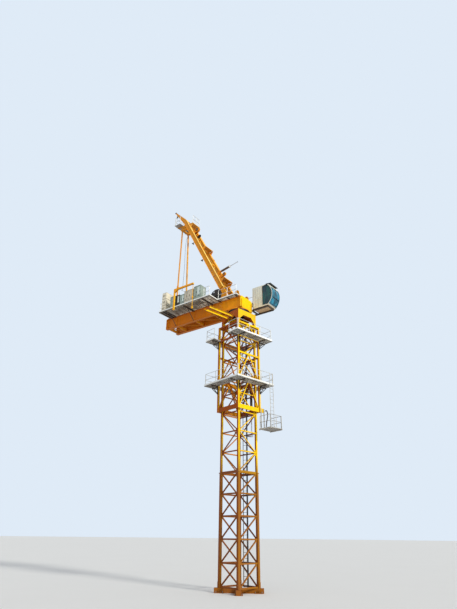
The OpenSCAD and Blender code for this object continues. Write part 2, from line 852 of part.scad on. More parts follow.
// A cabinet with a plinth, a roof lip, door joints on its right side and louvre slots in its doors
module cabinet(x, l, d, h, doors) {
    lip = 25;
    y = -right_reach + 120;
    door_w = l / doors;
    groove = 10;
    translate([x, y, floor_z]) difference() {
        union() {
            translate([lip, lip, 0]) cube([l - 2 * lip, d - 2 * lip, 90]);
            translate([lip / 2, lip / 2, 80]) cube([l - lip, d - lip, h - 120]);
            translate([0, 0, h - 45]) cube([l, d, 45]);
        }
        for (i = [1 : doors - 1])
            translate([i * door_w - groove / 2, -1, 150]) cube([groove, lip / 2 + 13, h - 240]);
        for (z = [150, h - 100]) translate([60, -1, z]) cube([l - 120, lip / 2 + 11, groove]);
        for (i = [0 : doors - 1], k = [0 : 3])
            translate([(i + 0.5) * door_w - door_w * 0.28, -1, h * 0.24 + k * 55])
                cube([door_w * 0.56, lip / 2 + 13, 18]);
    }
}

module switch_cabinets() {
    color("darkseagreen") {
        cabinet(-girder_back + 1850, 650, 880, 1420, 2);
        cabinet(-girder_back + 3170, 550, 800, 1250, 2);
        cabinet(-girder_back + 4980, 870, 880, 1620, 2);
    }
}

module dark_cabinet() {
    color("black") cabinet(-girder_back + 2520, 620, 900, 1350, 2);
}

module cream_cabinet() {
    color("beige") cabinet(-girder_back + 3740, 1160, 900, 1500, 3);
}

// A small hoist on the walkway's edge: post, arm and the fall that hangs from it
module hoist_davit() {
    x0 = -girder_back + 2580;
    arm_l = 2520;
    post_w = 140;
    y = -right_reach - post_w / 2;
    foot = deck_z - 260;
    arm_z = deck_z + 1900;
    fall = 2700;
    color("orange") {
        translate([x0, y, foot]) block(post_w, post_w, arm_z - foot);
        translate([x0, y, arm_z]) upright(post_w) polygon([
            [-post_w / 2, -60], [-post_w / 2, 200], [arm_l, 160], [arm_l, 0], [420, 0], [post_w / 2, -260]
        ]);
        translate([x0 + arm_l - 60, y, arm_z - fall]) {
            cylinder(d = 50, h = fall + 10);
            block(130, 110, 240);
            translate([0, 0, 1150]) block(110, 100, 190);
        }
        translate([x0 - 120, y, foot]) cube([240, post_w / 2, 30]);
    }
}

module jib_foot_brackets() {
    h = 500;
    boss = 150;
    color("darkorange")
        for (m = [-1, 1]) translate([350, m * web_y, deck_z + h]) difference() {
            union() {
                rotate([0, 90, 0]) lug(240, h, 640, 70);
                shaft(340, boss);
                translate([0, 0, -h]) block(640, flange_w - 60, 25);
                for (x = [-250, 230]) translate([x, 0, -h + 20]) crosswise(20) polygon([
                    [-flange_w / 2 + 40, 0], [flange_w / 2 - 40, 0], [35, 260], [-35, 260]
                ]);
            }
            shaft(jib_bore_d, boss + 2);
        }
}

module strut_feet() {
    t = 50;
    color("darkorange")
        for (m = [-1, 1])
            translate([-foot_x, m * foot_y, pin_z]) {
                rotate([0, 90, 0]) fork(230, foot_z, 900, t, foot_eye_t + 2 * fit, foot_pin_d);
                translate([0, 0, -foot_z]) block(900, foot_eye_t + 2 * t, 30);
                for (x = [-300, 280]) translate([x, -foot_eye_t / 2 - 1, -foot_z + 20])
                    cube([20, foot_eye_t + 2, 180]);
            }
}

// The strut's own frame: z along the legs from the foot pin, x to the front
module strut() {
    translate([-foot_x, 0, pin_z]) rotate([0, -lean, 0]) children();
}

// Where a point of the strut's frame lies, and how far a leg's middle is from the centre line there
function strut_x(v, s) = -foot_x + v * cos(lean) - s * sin(lean);
function strut_z(v, s) = pin_z + v * sin(lean) + s * cos(lean);
function leg_y(s) = foot_y - s * tan(leg_taper);

// x of the legs' front face at a height
function front_x(z) = -foot_x - (z - pin_z) * tan(lean) + leg_d / 2 / cos(lean);

// x of the legs' rear face at a height
function rear_x(z) = front_x(z) - leg_d / cos(lean);

cross_s = [1500, 5200, 7400, 9970, knee_s + 100];
deep_s = 3000;
head_s = 11020;

module strut_legs() {
    neck = 700;
    lip_t = 25;
    lip_w = leg_t + 50;
    color("darkorange") strut() {
        for (m = [-1, 1])
            translate([0, m * foot_y, 0]) rotate([m * leg_taper, 0, 0]) {
                upright(leg_t) polygon([
                    [-leg_d / 2, neck - 1], [leg_d / 2, neck - 1], [leg_d / 2, knee_s],
                    [-40, knee_s + 950], [-500, leg_l], [-600, leg_l - 40], [-leg_d / 2, knee_s - 400]
                ]);
                for (x = [-leg_d / 2, leg_d / 2 - lip_t])
                    translate([x, -lip_w / 2, neck]) cube([lip_t, lip_w, knee_s - 450 - neck]);
                for (s = [neck, deep_s - 450, deep_s + 450, head_s])
                    translate([-leg_d / 2, -lip_w / 2, s]) cube([leg_d, lip_w, 20]);
            }
        for (m = [-1, 1]) translate([0, m * foot_y, 0])
            rotate([0, -90, 0]) lug(230, neck + 15, leg_d - 40, foot_eye_t, foot_pin_d + 2 * fit);
        for (s = cross_s) translate([0, 0, s]) shaft(leg_tube, 2 * leg_y(s) - leg_t + 20);
        translate([-80, -leg_y(deep_s) + 120, deep_s - 450]) cube([160, 2 * leg_y(deep_s) - 240, 900]);
        translate([-80, -leg_y(head_s) + 120, head_s - 260]) cube([160, 2 * leg_y(head_s) - 240, 520]);
        for (i = [0 : 2]) {
            a = [3500, 5240, 7440][i];
            b = [5160, 7360, 9930][i];
            flip = i % 2 == 0 ? 1 : -1;
            bar([30, -flip * (leg_y(a) - 130), a], [30, flip * (leg_y(b) - 130), b], 70);
        }
        for (k = [-1, 1]) translate([backstop_v, k * 43, backstop_s]) rotate([0, 180, 0])
            lug(95, backstop_v - 79, 420, 25);
        translate([backstop_v, 0, backstop_s]) shaft(60, 150);
    }
}

// Forks behind the legs that hold the rear ties, joined by a round beam
module apex_head() {
    gap = tie_t + 2 * fit;
    t = 35;
    r = 200;
    root = leg_d / 2;
    color("darkorange") strut() {
        for (m = [-1, 1], k = [-1, 1])
            translate([apex_v, m * apex_y + k * (gap + t) / 2, apex_s])
                upright(t) union() {
                    circle(r);
                    polygon([[0, -r], [-apex_v - root, -640], [-apex_v - root, 0], [0, r]]);
                }
        translate([apex_v, 0, apex_s]) shaft(tie_pin_d, 2 * apex_y + gap + 2 * t + 50);
        translate([apex_v, 0, apex_s]) shaft(200, 2 * apex_y - gap - 2 * t + 2);
    }
}

// A railing round three sides of a small floor; the side at x1 stays open
module guard(x0, x1, y, z) {
    railing([x0, -y, z], [x0, y, z], 2);
    for (m = [-1, 1]) railing([x0 + 60, m * y, z], [x1, m * y, z], 1);
}

// A floor in front of the legs on two brackets that lie on their front faces
module front_floor(z, reach, drop, y) {
    x0 = front_x(z) + fit;
    low = front_x(z - drop) + fit;
    translate([x0, -y, z]) cube([reach, 2 * y, 50]);
    for (m = [-1, 1]) translate([0, m * leg_y((z - pin_z) / cos(lean)), 0]) upright(24)
        polygon([[x0, z], [x0 + reach, z], [x0 + reach, z - 60], [low, z - drop]]);
}

// The floor behind the legs, beside the apex, on two brackets that lie on their rear faces
module rear_floor(z, x0, l, y, drop) {
    edge = rear_x(z) - fit;
    low = rear_x(z - drop) - fit;
    color("lightgray") {
        translate([x0, -y, z]) cube([l, 2 * y, 50]);
        translate([x0, -y, z]) cube([8, 2 * y, 160]);
        guard(x0 + 50, x0 + l - 60, y - 50, z + 50);
    }
    color("darkorange")
        for (m = [-1, 1]) translate([0, m * (leg_y((z - pin_z) / cos(lean)) + 50), 0]) upright(30)
            polygon([[edge, z], [x0, z], [x0, z - 80], [low, z - drop]]);
}

module strut_platforms() {
    low_z = deck_z + low_floor;
    mid_z = deck_z + mid_floor;
    top_z = apex_top + 280;
    rear_z = apex_top + 440;
    ladder_y = 190;
    ladder_x = -leg_tube / 2 - 25;
    ladder_foot = 1420;
    ladder_top = knee_s - 1080;
    color("orange") {
        front_floor(low_z, 600, 520, 690);
        front_floor(mid_z, 500, 440, 620);
        front_floor(top_z, 560, 420, 640);
    }
    color("lightgray") {
        x = front_x(top_z) + 510;
        railing([x, -590, top_z + 50], [x, 590, top_z + 50], 2);
    }
    rear_floor(rear_z, -apex_x - 660, 860, 1200, 380);
    color("silver") strut() {
        for (m = [-1, 1]) translate([ladder_x, m * ladder_y, ladder_foot])
            block(50, 30, ladder_top - ladder_foot);
        for (s = [ladder_foot + 180 : 320 : ladder_top - 120]) translate([ladder_x, 0, s])
            rotate([90, 0, 0]) cylinder(d = 26, h = 2 * ladder_y, center = true, $fn = 6);
    }
}

// A rope wheel on the y axis, its groove turned into the rim
module sheave(r, w) {
    rotate([90, 0, 0]) rotate_extrude() polygon([
        [0, -w * 0.5], [r * 0.3, -w * 0.5], [r * 0.34, -w * 0.22], [r * 0.8, -w * 0.22],
        [r * 0.86, -w * 0.5], [r, -w * 0.5], [r * 0.88, -w * 0.14], [r * 0.88, w * 0.14],
        [r, w * 0.5], [r * 0.86, w * 0.5], [r * 0.8, w * 0.22], [r * 0.34, w * 0.22],
        [r * 0.3, w * 0.5], [0, w * 0.5]
    ]);
}

// Sheaves side by side between two cheek plates that reach back to a face at v0
module sheave_block(v, s, r, count, v0, root) {
    pitch = 78;
    cheek_t = 18;
    w = count * pitch + 14;
    translate([v, 0, s]) {
        for (i = [0 : count - 1]) translate([0, (i - (count - 1) / 2) * pitch, 0]) sheave(r, 66);
        for (k = [-1, 1]) translate([0, k * (w + cheek_t) / 2, 0]) rotate([0, 180, 0])
            lug(r * 0.72, v - v0, root, cheek_t);
        shaft(80, w + 2 * cheek_t + 50);
    }
}

module apex_sheaves() {
    face = 80;
    color("gold") strut() {
        sheave_block(560, head_s, 300, 3, face, 480);
        sheave_block(720, deep_s - 290, 200, 2, face, 300);
    }
}

module guide_sheave() {
    color("black") strut() sheave_block(400, cross_s[3], 205, 1, leg_tube / 2, 60);
}

// One pendant tie: two flat links, pinned together in a box at mid-height, with an eye at each end
module rear_ties() {
    split = 0.3;
    neck = 330;
    color("goldenrod")
        for (m = [-1, 1]) {
            low = [-tie_x, m * web_y, tie_z];
            high = [-apex_x, m * apex_y, apex_top];
            unit = (high - low) / norm(high - low);
            mid = low + (high - low) * split;
            translate(low) rotate([0, -90, 0]) lug(tie_r, neck, 150, tie_t, tie_pin_d + 2 * fit);
            translate(high) rotate([0, 90, 0]) lug(tie_r, neck, 150, tie_t, tie_pin_d + 2 * fit);
            bar(low + unit * (neck - 20), high - unit * (neck - 20), 150, 100);
            bar(mid - unit * 190, mid + unit * 190, 210, 150);
            translate(mid) shaft(110, 210);
        }
}

// The backstop's own frame: z along its cylinder from the pin
module backstop() {
    translate([strut_x(backstop_v, backstop_s), 0, strut_z(backstop_v, backstop_s)])
        rotate([0, 90 - backstop_rise, 0]) children();
}

module backstop_cylinder() {
    color("saddlebrown") backstop() {
        rotate([0, -90, 0]) lug(80, 140, 180, 60, 60 + 2 * fit);
        difference() {
            union() {
                translate([0, 0, 130]) cylinder(d = 220, h = 1100);
                translate([0, 0, 1130]) cylinder(d = 280, h = 70);
            }
            translate([0, 0, 330]) cylinder(d = 100, h = 901);
        }
    }
}

module backstop_rod() {
    color("silver") backstop() {
        translate([0, 0, 1030]) cylinder(d = 99.4, h = 100);
        translate([0, 0, 1030]) cylinder(d = 70, h = 1170);
        translate([0, 0, 2190]) cylinder(d = 140, h = 40);
    }
}

// A winch frame: skids, two bearing plates with ribs, a gearbox on the left and its motor behind
module winch_frame(x, z, r, w) {
    h = z - floor_z;
    t = 60;
    inner = w / 2 + 20;
    box_r = r * 0.42;
    translate([x, 0, z]) {
        for (m = [-1, 1]) translate([0, m * (inner + t / 2), 0]) {
            rotate([0, 90, 0]) lug(150, h, r * 1.7, t, axle_d + 2 * fit);
            translate([0, m * (t / 2 + 20), -h]) block(60, 60, h - 170);
        }
        for (k = [-1, 1]) translate([k * r * 0.8, 0, -h]) block(140, 2 * inner + 2 * t + 120, 90);
        translate([0, inner + t - 1, 0]) rotate([-90, 0, 0]) cylinder(r = box_r, h = 190);
        translate([-r - 420, inner + t + 95, -box_r / 2]) {
            rotate([0, 90, 0]) cylinder(r = 120, h = r + 420);
            rotate([0, 90, 0]) cylinder(r = 145, h = 360);
            translate([180, 0, box_r / 2 - h]) block(260, 180, h - box_r / 2 - 100);
        }
    }
}

// A rope drum with grooves along its barrel, two flanges with round openings and an axle
module winch_drum(x, z, r, w) {
    barrel = r * 0.62;
    rim = 36;
    count = 18;
    pitch = (w - 2 * rim - 20) / count;
    depth = 14;
    start = -w / 2 + rim + 10;
    grooves = [
        for (i = [0 : count - 1], k = [0, 1, 2])
            [barrel - (k == 1 ? depth : 0), start + (i + k * 0.4 + 0.1) * pitch]
    ];
    translate([x, 0, z]) rotate([90, 0, 0]) {
        rotate_extrude() polygon(concat([[0, start - 5]], [[barrel, start - 5]], grooves,
            [[barrel, -start + 5], [0, -start + 5]]));
        for (m = [-1, 1]) translate([0, 0, m * (w / 2 - rim / 2)]) difference() {
            cylinder(r = r, h = rim, center = true);
            for (a = [0 : 60 : 300]) rotate(a) translate([r * 0.8, 0, 0])
                cylinder(r = r * 0.1, h = rim + 2, center = true);
        }
        cylinder(d = axle_d, h = w + 120, center = true);
    }
}

module winch_frames() {
    color("dimgray") {
        winch_frame(drum_x, drum_z, drum_r, drum_w);
        winch_frame(luff_x, luff_z, luff_r, luff_w);
    }
}

module hoist_drum() { color("black") winch_drum(drum_x, drum_z, drum_r, drum_w); }
module luffing_drum() { color("black") winch_drum(luff_x, luff_z, luff_r, luff_w); }

// The cab's side outline: straight rear, round front; inset moves its edges inwards
module cab_outline(inset = 0) {
    intersection() {
        translate([inset, inset]) square([cab_l - 2 * inset, cab_h - 2 * inset]);
        union() {
            translate([cab_l - cab_r, cab_h / 2]) circle(cab_r - inset, $fn = 96);
            square([cab_l - cab_r, cab_h]);
        }
    }
}

// The side window: straight at the rear, round at the front
module side_window(inset = 0) {
    intersection() {
        translate([1170 + inset, 130 + inset]) square([cab_l, cab_h - 250 - 2 * inset]);
        translate([cab_l - cab_r, cab_h / 2]) circle(cab_r - 150 - inset, $fn = 96);
    }
}

// The block of space that the front window takes out of the curved front wall
module front_window(inset = 0) {
    translate([cab_l - 620, 100 + inset, 150 + inset])
        cube([700, cab_w - 200 - 2 * inset, cab_h - 700 - 2 * inset]);
}

module cab_frame() {
    beam_z = cab_z - 150;
    beam_w = 110;
    near_y = cab_y + 120;
    far_y = cab_y + cab_w - 120;
    color("dimgray") {
        for (y = [near_y, far_y]) translate([-450, y - beam_w / 2, beam_z])
            cube([cab_x + cab_l * 0.72 + 450, beam_w, 150]);
        for (x = [-450, cab_x - 200]) translate([x, web_y + web_t / 2, beam_z + 10])
            cube([120, far_y - web_y - web_t / 2, 130]);
        translate([cab_x + cab_l * 0.72 - 60, near_y, beam_z + 10]) cube([60, far_y - near_y, 130]);
    }
}

module cab_shell() {
    color("ivory") translate([cab_x, cab_y, cab_z]) {
        difference() {
            translate([0, cab_w / 2, 0]) difference() {
                upright(cab_w) cab_outline();
                upright(cab_w - 2 * cab_wall) cab_outline(cab_wall);
            }
            translate([0, cab_w / 2, 0]) upright(cab_w + 2) side_window();
            front_window();
            translate([-1, cab_w / 2 - 330, 120]) cube([cab_wall + 2, 660, 1800]);
        }
        translate([0, cab_w / 2 - 330 + fit, 120 + fit]) cube([36, 660 - 2 * fit, 1800 - 2 * fit]);
        for (x = [200 : 240 : 920]) translate([x, -12, 200]) cube([24, 13, cab_h - 400]);
    }
    color("black") translate([cab_x + cab_l - 760, cab_y, cab_z + cab_h - 1]) rotate([0, 8, 0])
        translate([0, -30, 0]) cube([560, cab_w + 60, 50]);
}

module cab_glass() {
    pane = 14;
    color("teal") translate([cab_x, cab_y, cab_z]) {
        for (y = [30, cab_w - 30]) translate([0, y, 0]) upright(pane) side_window(fit);
        intersection() {
            translate([0, cab_w / 2, 0]) upright(cab_w - 180) difference() {
                translate([cab_l - cab_r, cab_h / 2]) circle(cab_r - 20, $fn = 96);
                translate([cab_l - cab_r, cab_h / 2]) circle(cab_r - 20 - pane, $fn = 96);
            }
            front_window(fit);
        }
    }
}

base_frame();
mast_posts();
mast_front();
mast_back();
mast_left();
mast_right();
mast_ladder();
cable_duct();
slewing_support();
entry_beams();
slewing_ring_lower();
ram_rod();
cage_posts();
cage_front();
cage_back();
cage_left();
cage_right();
cage_rollers();
ram_cylinder();
cage_walkways();
cage_rails();
landing_platform();
slewing_ring_upper();
turntable();
front_plate();
right_girder();
left_girder();
cross_beams();
deck();
deck_rails();
counterweights();
switch_cabinets();
dark_cabinet();
cream_cabinet();
hoist_davit();
jib_foot_brackets();
strut_feet();
strut_legs();
apex_head();
strut_platforms();
apex_sheaves();
guide_sheave();
rear_ties();
backstop_cylinder();
backstop_rod();
winch_frames();
hoist_drum();
luffing_drum();
cab_frame();
cab_shell();
cab_glass();
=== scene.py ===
from math import cos, pi, radians, sin, sqrt

import bpy
from mathutils import Matrix, Vector


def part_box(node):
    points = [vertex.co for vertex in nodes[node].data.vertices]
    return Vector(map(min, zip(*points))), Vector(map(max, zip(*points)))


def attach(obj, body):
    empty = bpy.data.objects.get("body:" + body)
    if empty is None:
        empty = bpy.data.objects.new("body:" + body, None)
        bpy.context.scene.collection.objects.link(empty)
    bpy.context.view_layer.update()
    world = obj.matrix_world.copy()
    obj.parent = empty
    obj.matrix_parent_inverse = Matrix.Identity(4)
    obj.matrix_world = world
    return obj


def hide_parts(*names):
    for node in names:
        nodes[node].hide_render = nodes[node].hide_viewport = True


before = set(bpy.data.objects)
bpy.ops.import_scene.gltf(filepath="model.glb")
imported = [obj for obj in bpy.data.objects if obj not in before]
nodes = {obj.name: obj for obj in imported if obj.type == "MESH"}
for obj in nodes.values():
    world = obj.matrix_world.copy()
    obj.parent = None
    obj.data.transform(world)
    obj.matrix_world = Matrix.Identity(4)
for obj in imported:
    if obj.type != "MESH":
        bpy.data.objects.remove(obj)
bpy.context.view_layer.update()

# Places and sizes that the pieces share with the part, in metres
MAST_TURN = Matrix.Rotation(radians(-11.5), 4, "Z")
MAST_HALF = 1.025
JOINT_Z = 8.33
SUPPORT_TOP = 22.65
GIRDER_Z = 23.045
GIRDER_Y = 0.8
GIRDER_FRONT = 0.88
DECK_Z = 24.205
FLOOR_Z = 24.265
REAR = -8.73
RIGHT_EDGE, LEFT_EDGE = -2.6, 1.85
CABINET_Y = -2.48
BLOCK_H = 0.74
TIE_X = -7.61
HOIST_WINCH = (-2.45, 25.335, 0.75)
LUFFING_WINCH = (-4.75, 25.155, 0.60)
LEAN = radians(27.7)
FOOT_X = -1.2
PIN_Z = 25.205
CAGE_HALF = 1.275
CAGE_IN = CAGE_HALF + 0.0803
LOW_WALK, HIGH_WALK = 15.65, 19.9
WALK_REACH = 2.2
CX, CY, CZ = 0.85, 1.15, 23.565
CAB_L, CAB_W, CAB_H, CAB_R = 2.35, 1.3, 2.3, 1.5
SUN = Vector((0.86, -0.16, 0.48)).normalized()
AWAY = (-0.62, 0.78, 0.0)
DOWN, UP = (0, 0, -1), (0, 0, 1)


# Materials

class Graph:
    """A material's node tree, with short names for what the finishes share."""

    def __init__(self, name):
        self.mat = bpy.data.materials.new(name)
        self.mat.use_nodes = True
        self.tree = self.mat.node_tree
        self.tree.nodes.clear()
        out = self.node("OutputMaterial")
        self.skin = self.node("BsdfPrincipled")
        self.link(self.skin.outputs[0], out.inputs[0])
        co = self.node("TexCoord")
        self.place, self.normal = co.outputs["Object"], co.outputs["Normal"]

    def node(self, kind, **props):
        n = self.tree.nodes.new("ShaderNode" + kind)
        for k, v in props.items():
            setattr(n, k, v)
        return n

    def link(self, a, b):
        self.tree.links.new(a, b)

    def feed(self, socket, value):
        """Links a socket to another one, or gives it a number or a colour."""
        if isinstance(value, bpy.types.NodeSocket):
            self.link(value, socket)
        elif isinstance(value, (int, float)):
            socket.default_value = value
        else:
            socket.default_value = (*value, 1.0) if len(value) == 3 and socket.type == "RGBA" else value

    def stretched(self, by):
        n = self.node("Mapping")
        self.link(self.place, n.inputs[0])
        n.inputs["Scale"].default_value = by
        return n.outputs[0]

    def coordinate(self, axis):
        """The place along one axis: 0 for x, 1 for y, 2 for z."""
        n = self.node("SeparateXYZ")
        self.link(self.place, n.inputs[0])
        return n.outputs[axis]

    def noise(self, scale, detail=5.0, rough=0.55, by=(1, 1, 1)):
        n = self.node("TexNoise")
        self.link(self.stretched(by), n.inputs["Vector"])
        n.inputs["Scale"].default_value = scale
        n.inputs["Detail"].default_value = detail
        n.inputs["Roughness"].default_value = rough
        return n.outputs[0]

    def cells(self, scale):
        n = self.node("TexVoronoi")
        self.link(self.place, n.inputs["Vector"])
        n.inputs["Scale"].default_value = scale
        return n

    def waves(self, axis, scale):
        n = self.node("TexWave", bands_direction=axis)
        self.link(self.place, n.inputs["Vector"])
        n.inputs["Scale"].default_value = scale
        return n.outputs["Fac"]

    def span(self, value, lo, hi, to_lo=0.0, to_hi=1.0):
        n = self.node("MapRange")
        self.feed(n.inputs["Value"], value)
        for k, v in (("From Min", lo), ("From Max", hi), ("To Min", to_lo), ("To Max", to_hi)):
            n.inputs[k].default_value = v
        return n.outputs[0]

    def calc(self, op, a, b=0.0):
        n = self.node("Math", operation=op)
        self.feed(n.inputs[0], a)
        self.feed(n.inputs[1], b)
        return n.outputs[0]

    def mix(self, fac, a, b):
        """Mixes two colours. A mix node keeps its colour sockets at 6 and 7, and their result at 2."""
        n = self.node("Mix", data_type="RGBA")
        self.feed(n.inputs["Factor"], fac)
        self.feed(n.inputs[6], a)
        self.feed(n.inputs[7], b)
        return n.outputs[2]

    def facing(self, direction, lo, hi):
        """How far the surface faces a direction, spread between two cosines."""
        n = self.node("VectorMath", operation="DOT_PRODUCT")
        self.link(self.normal, n.inputs[0])
        n.inputs[1].default_value = direction
        return self.span(n.outputs["Value"], lo, hi)

    def edges(self, radius):
        """1 along the edges, where a rounded normal departs from the true one."""
        bevel = self.node("Bevel", samples=4)
        bevel.inputs["Radius"].default_value = radius
        n = self.node("VectorMath", operation="DOT_PRODUCT")
        self.link(bevel.outputs[0], n.inputs[0])
        self.link(self.node("NewGeometry").outputs["Normal"], n.inputs[1])
        return self.span(n.outputs["Value"], 0.99, 0.85)

    def bump(self, height, strength, distance):
        n = self.node("Bump")
        n.inputs["Strength"].default_value = strength
        n.inputs["Distance"].default_value = distance
        self.link(height, n.inputs["Height"])
        self.link(n.outputs[0], self.skin.inputs["Normal"])

    def finish(self, colour, rough, metal=0.0, **more):
        self.feed(self.skin.inputs["Base Color"], colour)
        self.feed(self.skin.inputs["Roughness"], rough)
        self.feed(self.skin.inputs["Metallic"], metal)
        for k, v in more.items():
            self.feed(self.skin.inputs[k.replace("_", " ")], v)
        return self.mat


# Grime for the streaks; a darker copy of it is the painted shade under things
GRIME_AND_UNDERSHADE = (0.16, 0.075, 0.03)
RUST = (0.20, 0.085, 0.035)
WORN = (0.34, 0.20, 0.11)
# Colour of the painted shadow over the lower mast
SHADOW_TONE = (0.25, 0.068, 0.005)
# Brighter tone towards the front of the girders
FORWARD_TONE = (0.95, 0.36, 0.006)
DUST = (0.42, 0.38, 0.30)


def paint(name, lit, shade, grimy=0.5, shadowed=None, brighter_forward=None):
    """Weathered gloss paint, with painted light and shade: its lit colour on faces turned to the sun, its
    shaded colour elsewhere, lighter on the far side, and a painted shade on faces turned down; streaked,
    chipped and worn along its edges.
    Where two heights are given, a painted shadow darkens it downwards between them; where two places in x are
    given, it turns brighter forwards between them."""
    g = Graph(name)
    between = [0.6 * a + 0.4 * b for a, b in zip(lit, shade)]
    # Painted light and shade: the shaded colour, a lighter painted shade on the far side, and the lit colour
    # on faces turned to the sun
    base = g.mix(g.facing(AWAY, 0.1, 0.7), shade, between)
    base = g.mix(g.facing(SUN, 0.4, 0.8), base, lit)
    # Painted shadow: darker downwards between two heights
    if shadowed:
        base = g.mix(g.span(g.coordinate(2), shadowed[1], shadowed[0], 0.0, 0.9), base, SHADOW_TONE)
    # Brighter forwards between two places in x
    if brighter_forward:
        base = g.mix(g.span(g.coordinate(0), brighter_forward[0], brighter_forward[1], 0.0, 0.8), base, FORWARD_TONE)
    dull = [0.72 * c + 0.05 for c in shade]
    base = g.mix(g.span(g.noise(0.55, 6), 0.42, 0.7, 0.0, 0.45), base, dull)
    base = g.mix(g.span(g.noise(2.4, 7, 0.62, (1.6, 1.6, 0.16)), 0.53, 0.72, 0.0, grimy), base, GRIME_AND_UNDERSHADE)
    # Painted shade under things: faces turned down take a darker copy of the grime colour
    base = g.mix(g.calc("MULTIPLY", g.facing(DOWN, 0.3, 1.0), 0.35), base, [c * 0.6 for c in GRIME_AND_UNDERSHADE])
    base = g.mix(g.span(g.noise(21, 3, 0.7), 0.665, 0.70, 0.0, 0.75), base, RUST)
    rubbed = g.calc("MULTIPLY", g.edges(0.012), g.span(g.noise(9, 4), 0.40, 0.62, 0.0, 0.5))
    base = g.mix(rubbed, base, WORN)
    g.bump(g.noise(70, 3), 0.12, 0.004)
    return g.finish(base, g.span(g.noise(3.2, 5), 0.3, 0.75, 0.4, 0.72), Specular_IOR_Level=0.15)


def galvanised(name, base=(0.50, 0.50, 0.48), dirt=(0.20, 0.165, 0.125), dirty=0.55, metal=0.35):
    """Zinc with its spangle, dulled with dirt, and darkened by a painted shade on faces turned down."""
    g = Graph(name)
    spangle = g.span(g.cells(26).outputs["Color"], 0.2, 0.9, 0.0, 0.35)
    col = g.mix(spangle, base, [c * 1.35 for c in base])
    col = g.mix(g.span(g.noise(1.7, 7, 0.6), 0.42, 0.66, 0.0, dirty), col, dirt)
    # Painted shade under things: faces turned down take a darker copy of the dirt colour
    col = g.mix(g.calc("MULTIPLY", g.facing(DOWN, 0.2, 1.0), dirty), col, [c * 0.8 for c in dirt])
    g.bump(g.noise(45, 4), 0.15, 0.003)
    return g.finish(col, g.span(g.noise(5, 4), 0.3, 0.7, 0.42, 0.68), metal)


def steel(name, base, rough=0.5, metal=0.7, dirt=(0.10, 0.055, 0.03), dirty=0.5):
    """Bare or dark machine steel with grease, dust and rust in it."""
    g = Graph(name)
    col = g.mix(g.span(g.noise(2.8, 7, 0.6), 0.42, 0.68, 0.0, dirty), base, dirt)
    col = g.mix(g.calc("MULTIPLY", g.edges(0.006), 0.5), col, [min(1, c * 2.2 + 0.08) for c in base])
    g.bump(g.noise(60, 3), 0.15, 0.002)
    return g.finish(col, g.span(g.noise(7, 4), 0.3, 0.7, rough - 0.12, rough + 0.15), metal)


def sheet_paint(name, base, stain, rough=0.38, stained=0.5):
    """Painted sheet steel of a housing: even colour, rain marks, dust on top and scuffed edges."""
    g = Graph(name)
    col = g.mix(g.span(g.noise(0.9, 5), 0.35, 0.7, 0.0, 0.3), base, [c * 0.82 for c in base])
    col = g.mix(g.span(g.noise(5, 7, 0.62, (1.4, 1.4, 0.12)), 0.5, 0.74, 0.0, stained), col, stain)
    col = g.mix(g.calc("MULTIPLY", g.facing(UP, 0.4, 1.0), 0.4), col, DUST)
    scuffed = g.calc("MULTIPLY", g.edges(0.01), g.span(g.noise(11, 4), 0.42, 0.6, 0.0, 0.5))
    col = g.mix(scuffed, col, [c * 0.5 for c in stain])
    g.bump(g.noise(30, 3), 0.08, 0.004)
    return g.finish(col, g.span(g.noise(4, 4), 0.3, 0.7, rough - 0.08, rough + 0.2))


def concrete(name):
    """Cast ballast: mottled, streaked and pitted, with a dark joint between two blocks."""
    g = Graph(name)
    col = g.mix(g.span(g.noise(1.3, 6), 0.3, 0.7), (0.72, 0.66, 0.52), (0.92, 0.86, 0.70))
    col = g.mix(g.span(g.noise(16, 6, 0.7), 0.52, 0.66, 0.0, 0.55), col, (0.30, 0.26, 0.20))
    col = g.mix(g.span(g.noise(4.5, 7, 0.6, (1.2, 1.2, 0.14)), 0.52, 0.76, 0.0, 0.5), col, (0.22, 0.17, 0.12))
    col = g.mix(g.span(g.cells(9).outputs["Distance"], 0.10, 0.05, 0.0, 0.55), col, (0.16, 0.13, 0.10))
    rise = g.calc("FRACT", g.calc("DIVIDE", g.calc("SUBTRACT", g.coordinate(2), FLOOR_Z), BLOCK_H))
    joint = g.span(g.calc("ABSOLUTE", g.calc("SUBTRACT", rise, 0.5)), 0.43, 0.5, 0.0, 0.85)
    col = g.mix(joint, col, (0.13, 0.105, 0.08))
    pits = g.span(g.cells(14).outputs["Distance"], 0.0, 0.12)
    g.bump(g.calc("ADD", g.noise(24, 7, 0.65), pits), 0.5, 0.012)
    return g.finish(col, g.span(g.noise(12, 4), 0.3, 0.7, 0.78, 0.95))


def tread_plate(name):
    """Chequered floor plate: small raised lozenges in two directions."""
    g = Graph(name)
    a = g.calc("MULTIPLY", g.waves("X", 9.0), g.waves("Y", 4.5))
    b = g.calc("MULTIPLY", g.waves("DIAGONAL", 7.0), g.waves("Y", 9.0))
    lozenge = g.span(g.calc("MAXIMUM", a, b), 0.62, 0.82)
    col = g.mix(g.span(g.noise(1.4, 6), 0.35, 0.7), (0.17, 0.15, 0.125), (0.34, 0.31, 0.26))
    col = g.mix(g.calc("MULTIPLY", lozenge, 0.5), col, (0.48, 0.46, 0.42))
    g.bump(lozenge, 0.6, 0.006)
    return g.finish(col, g.span(g.noise(8, 4), 0.3, 0.7, 0.45, 0.7), 0.4)


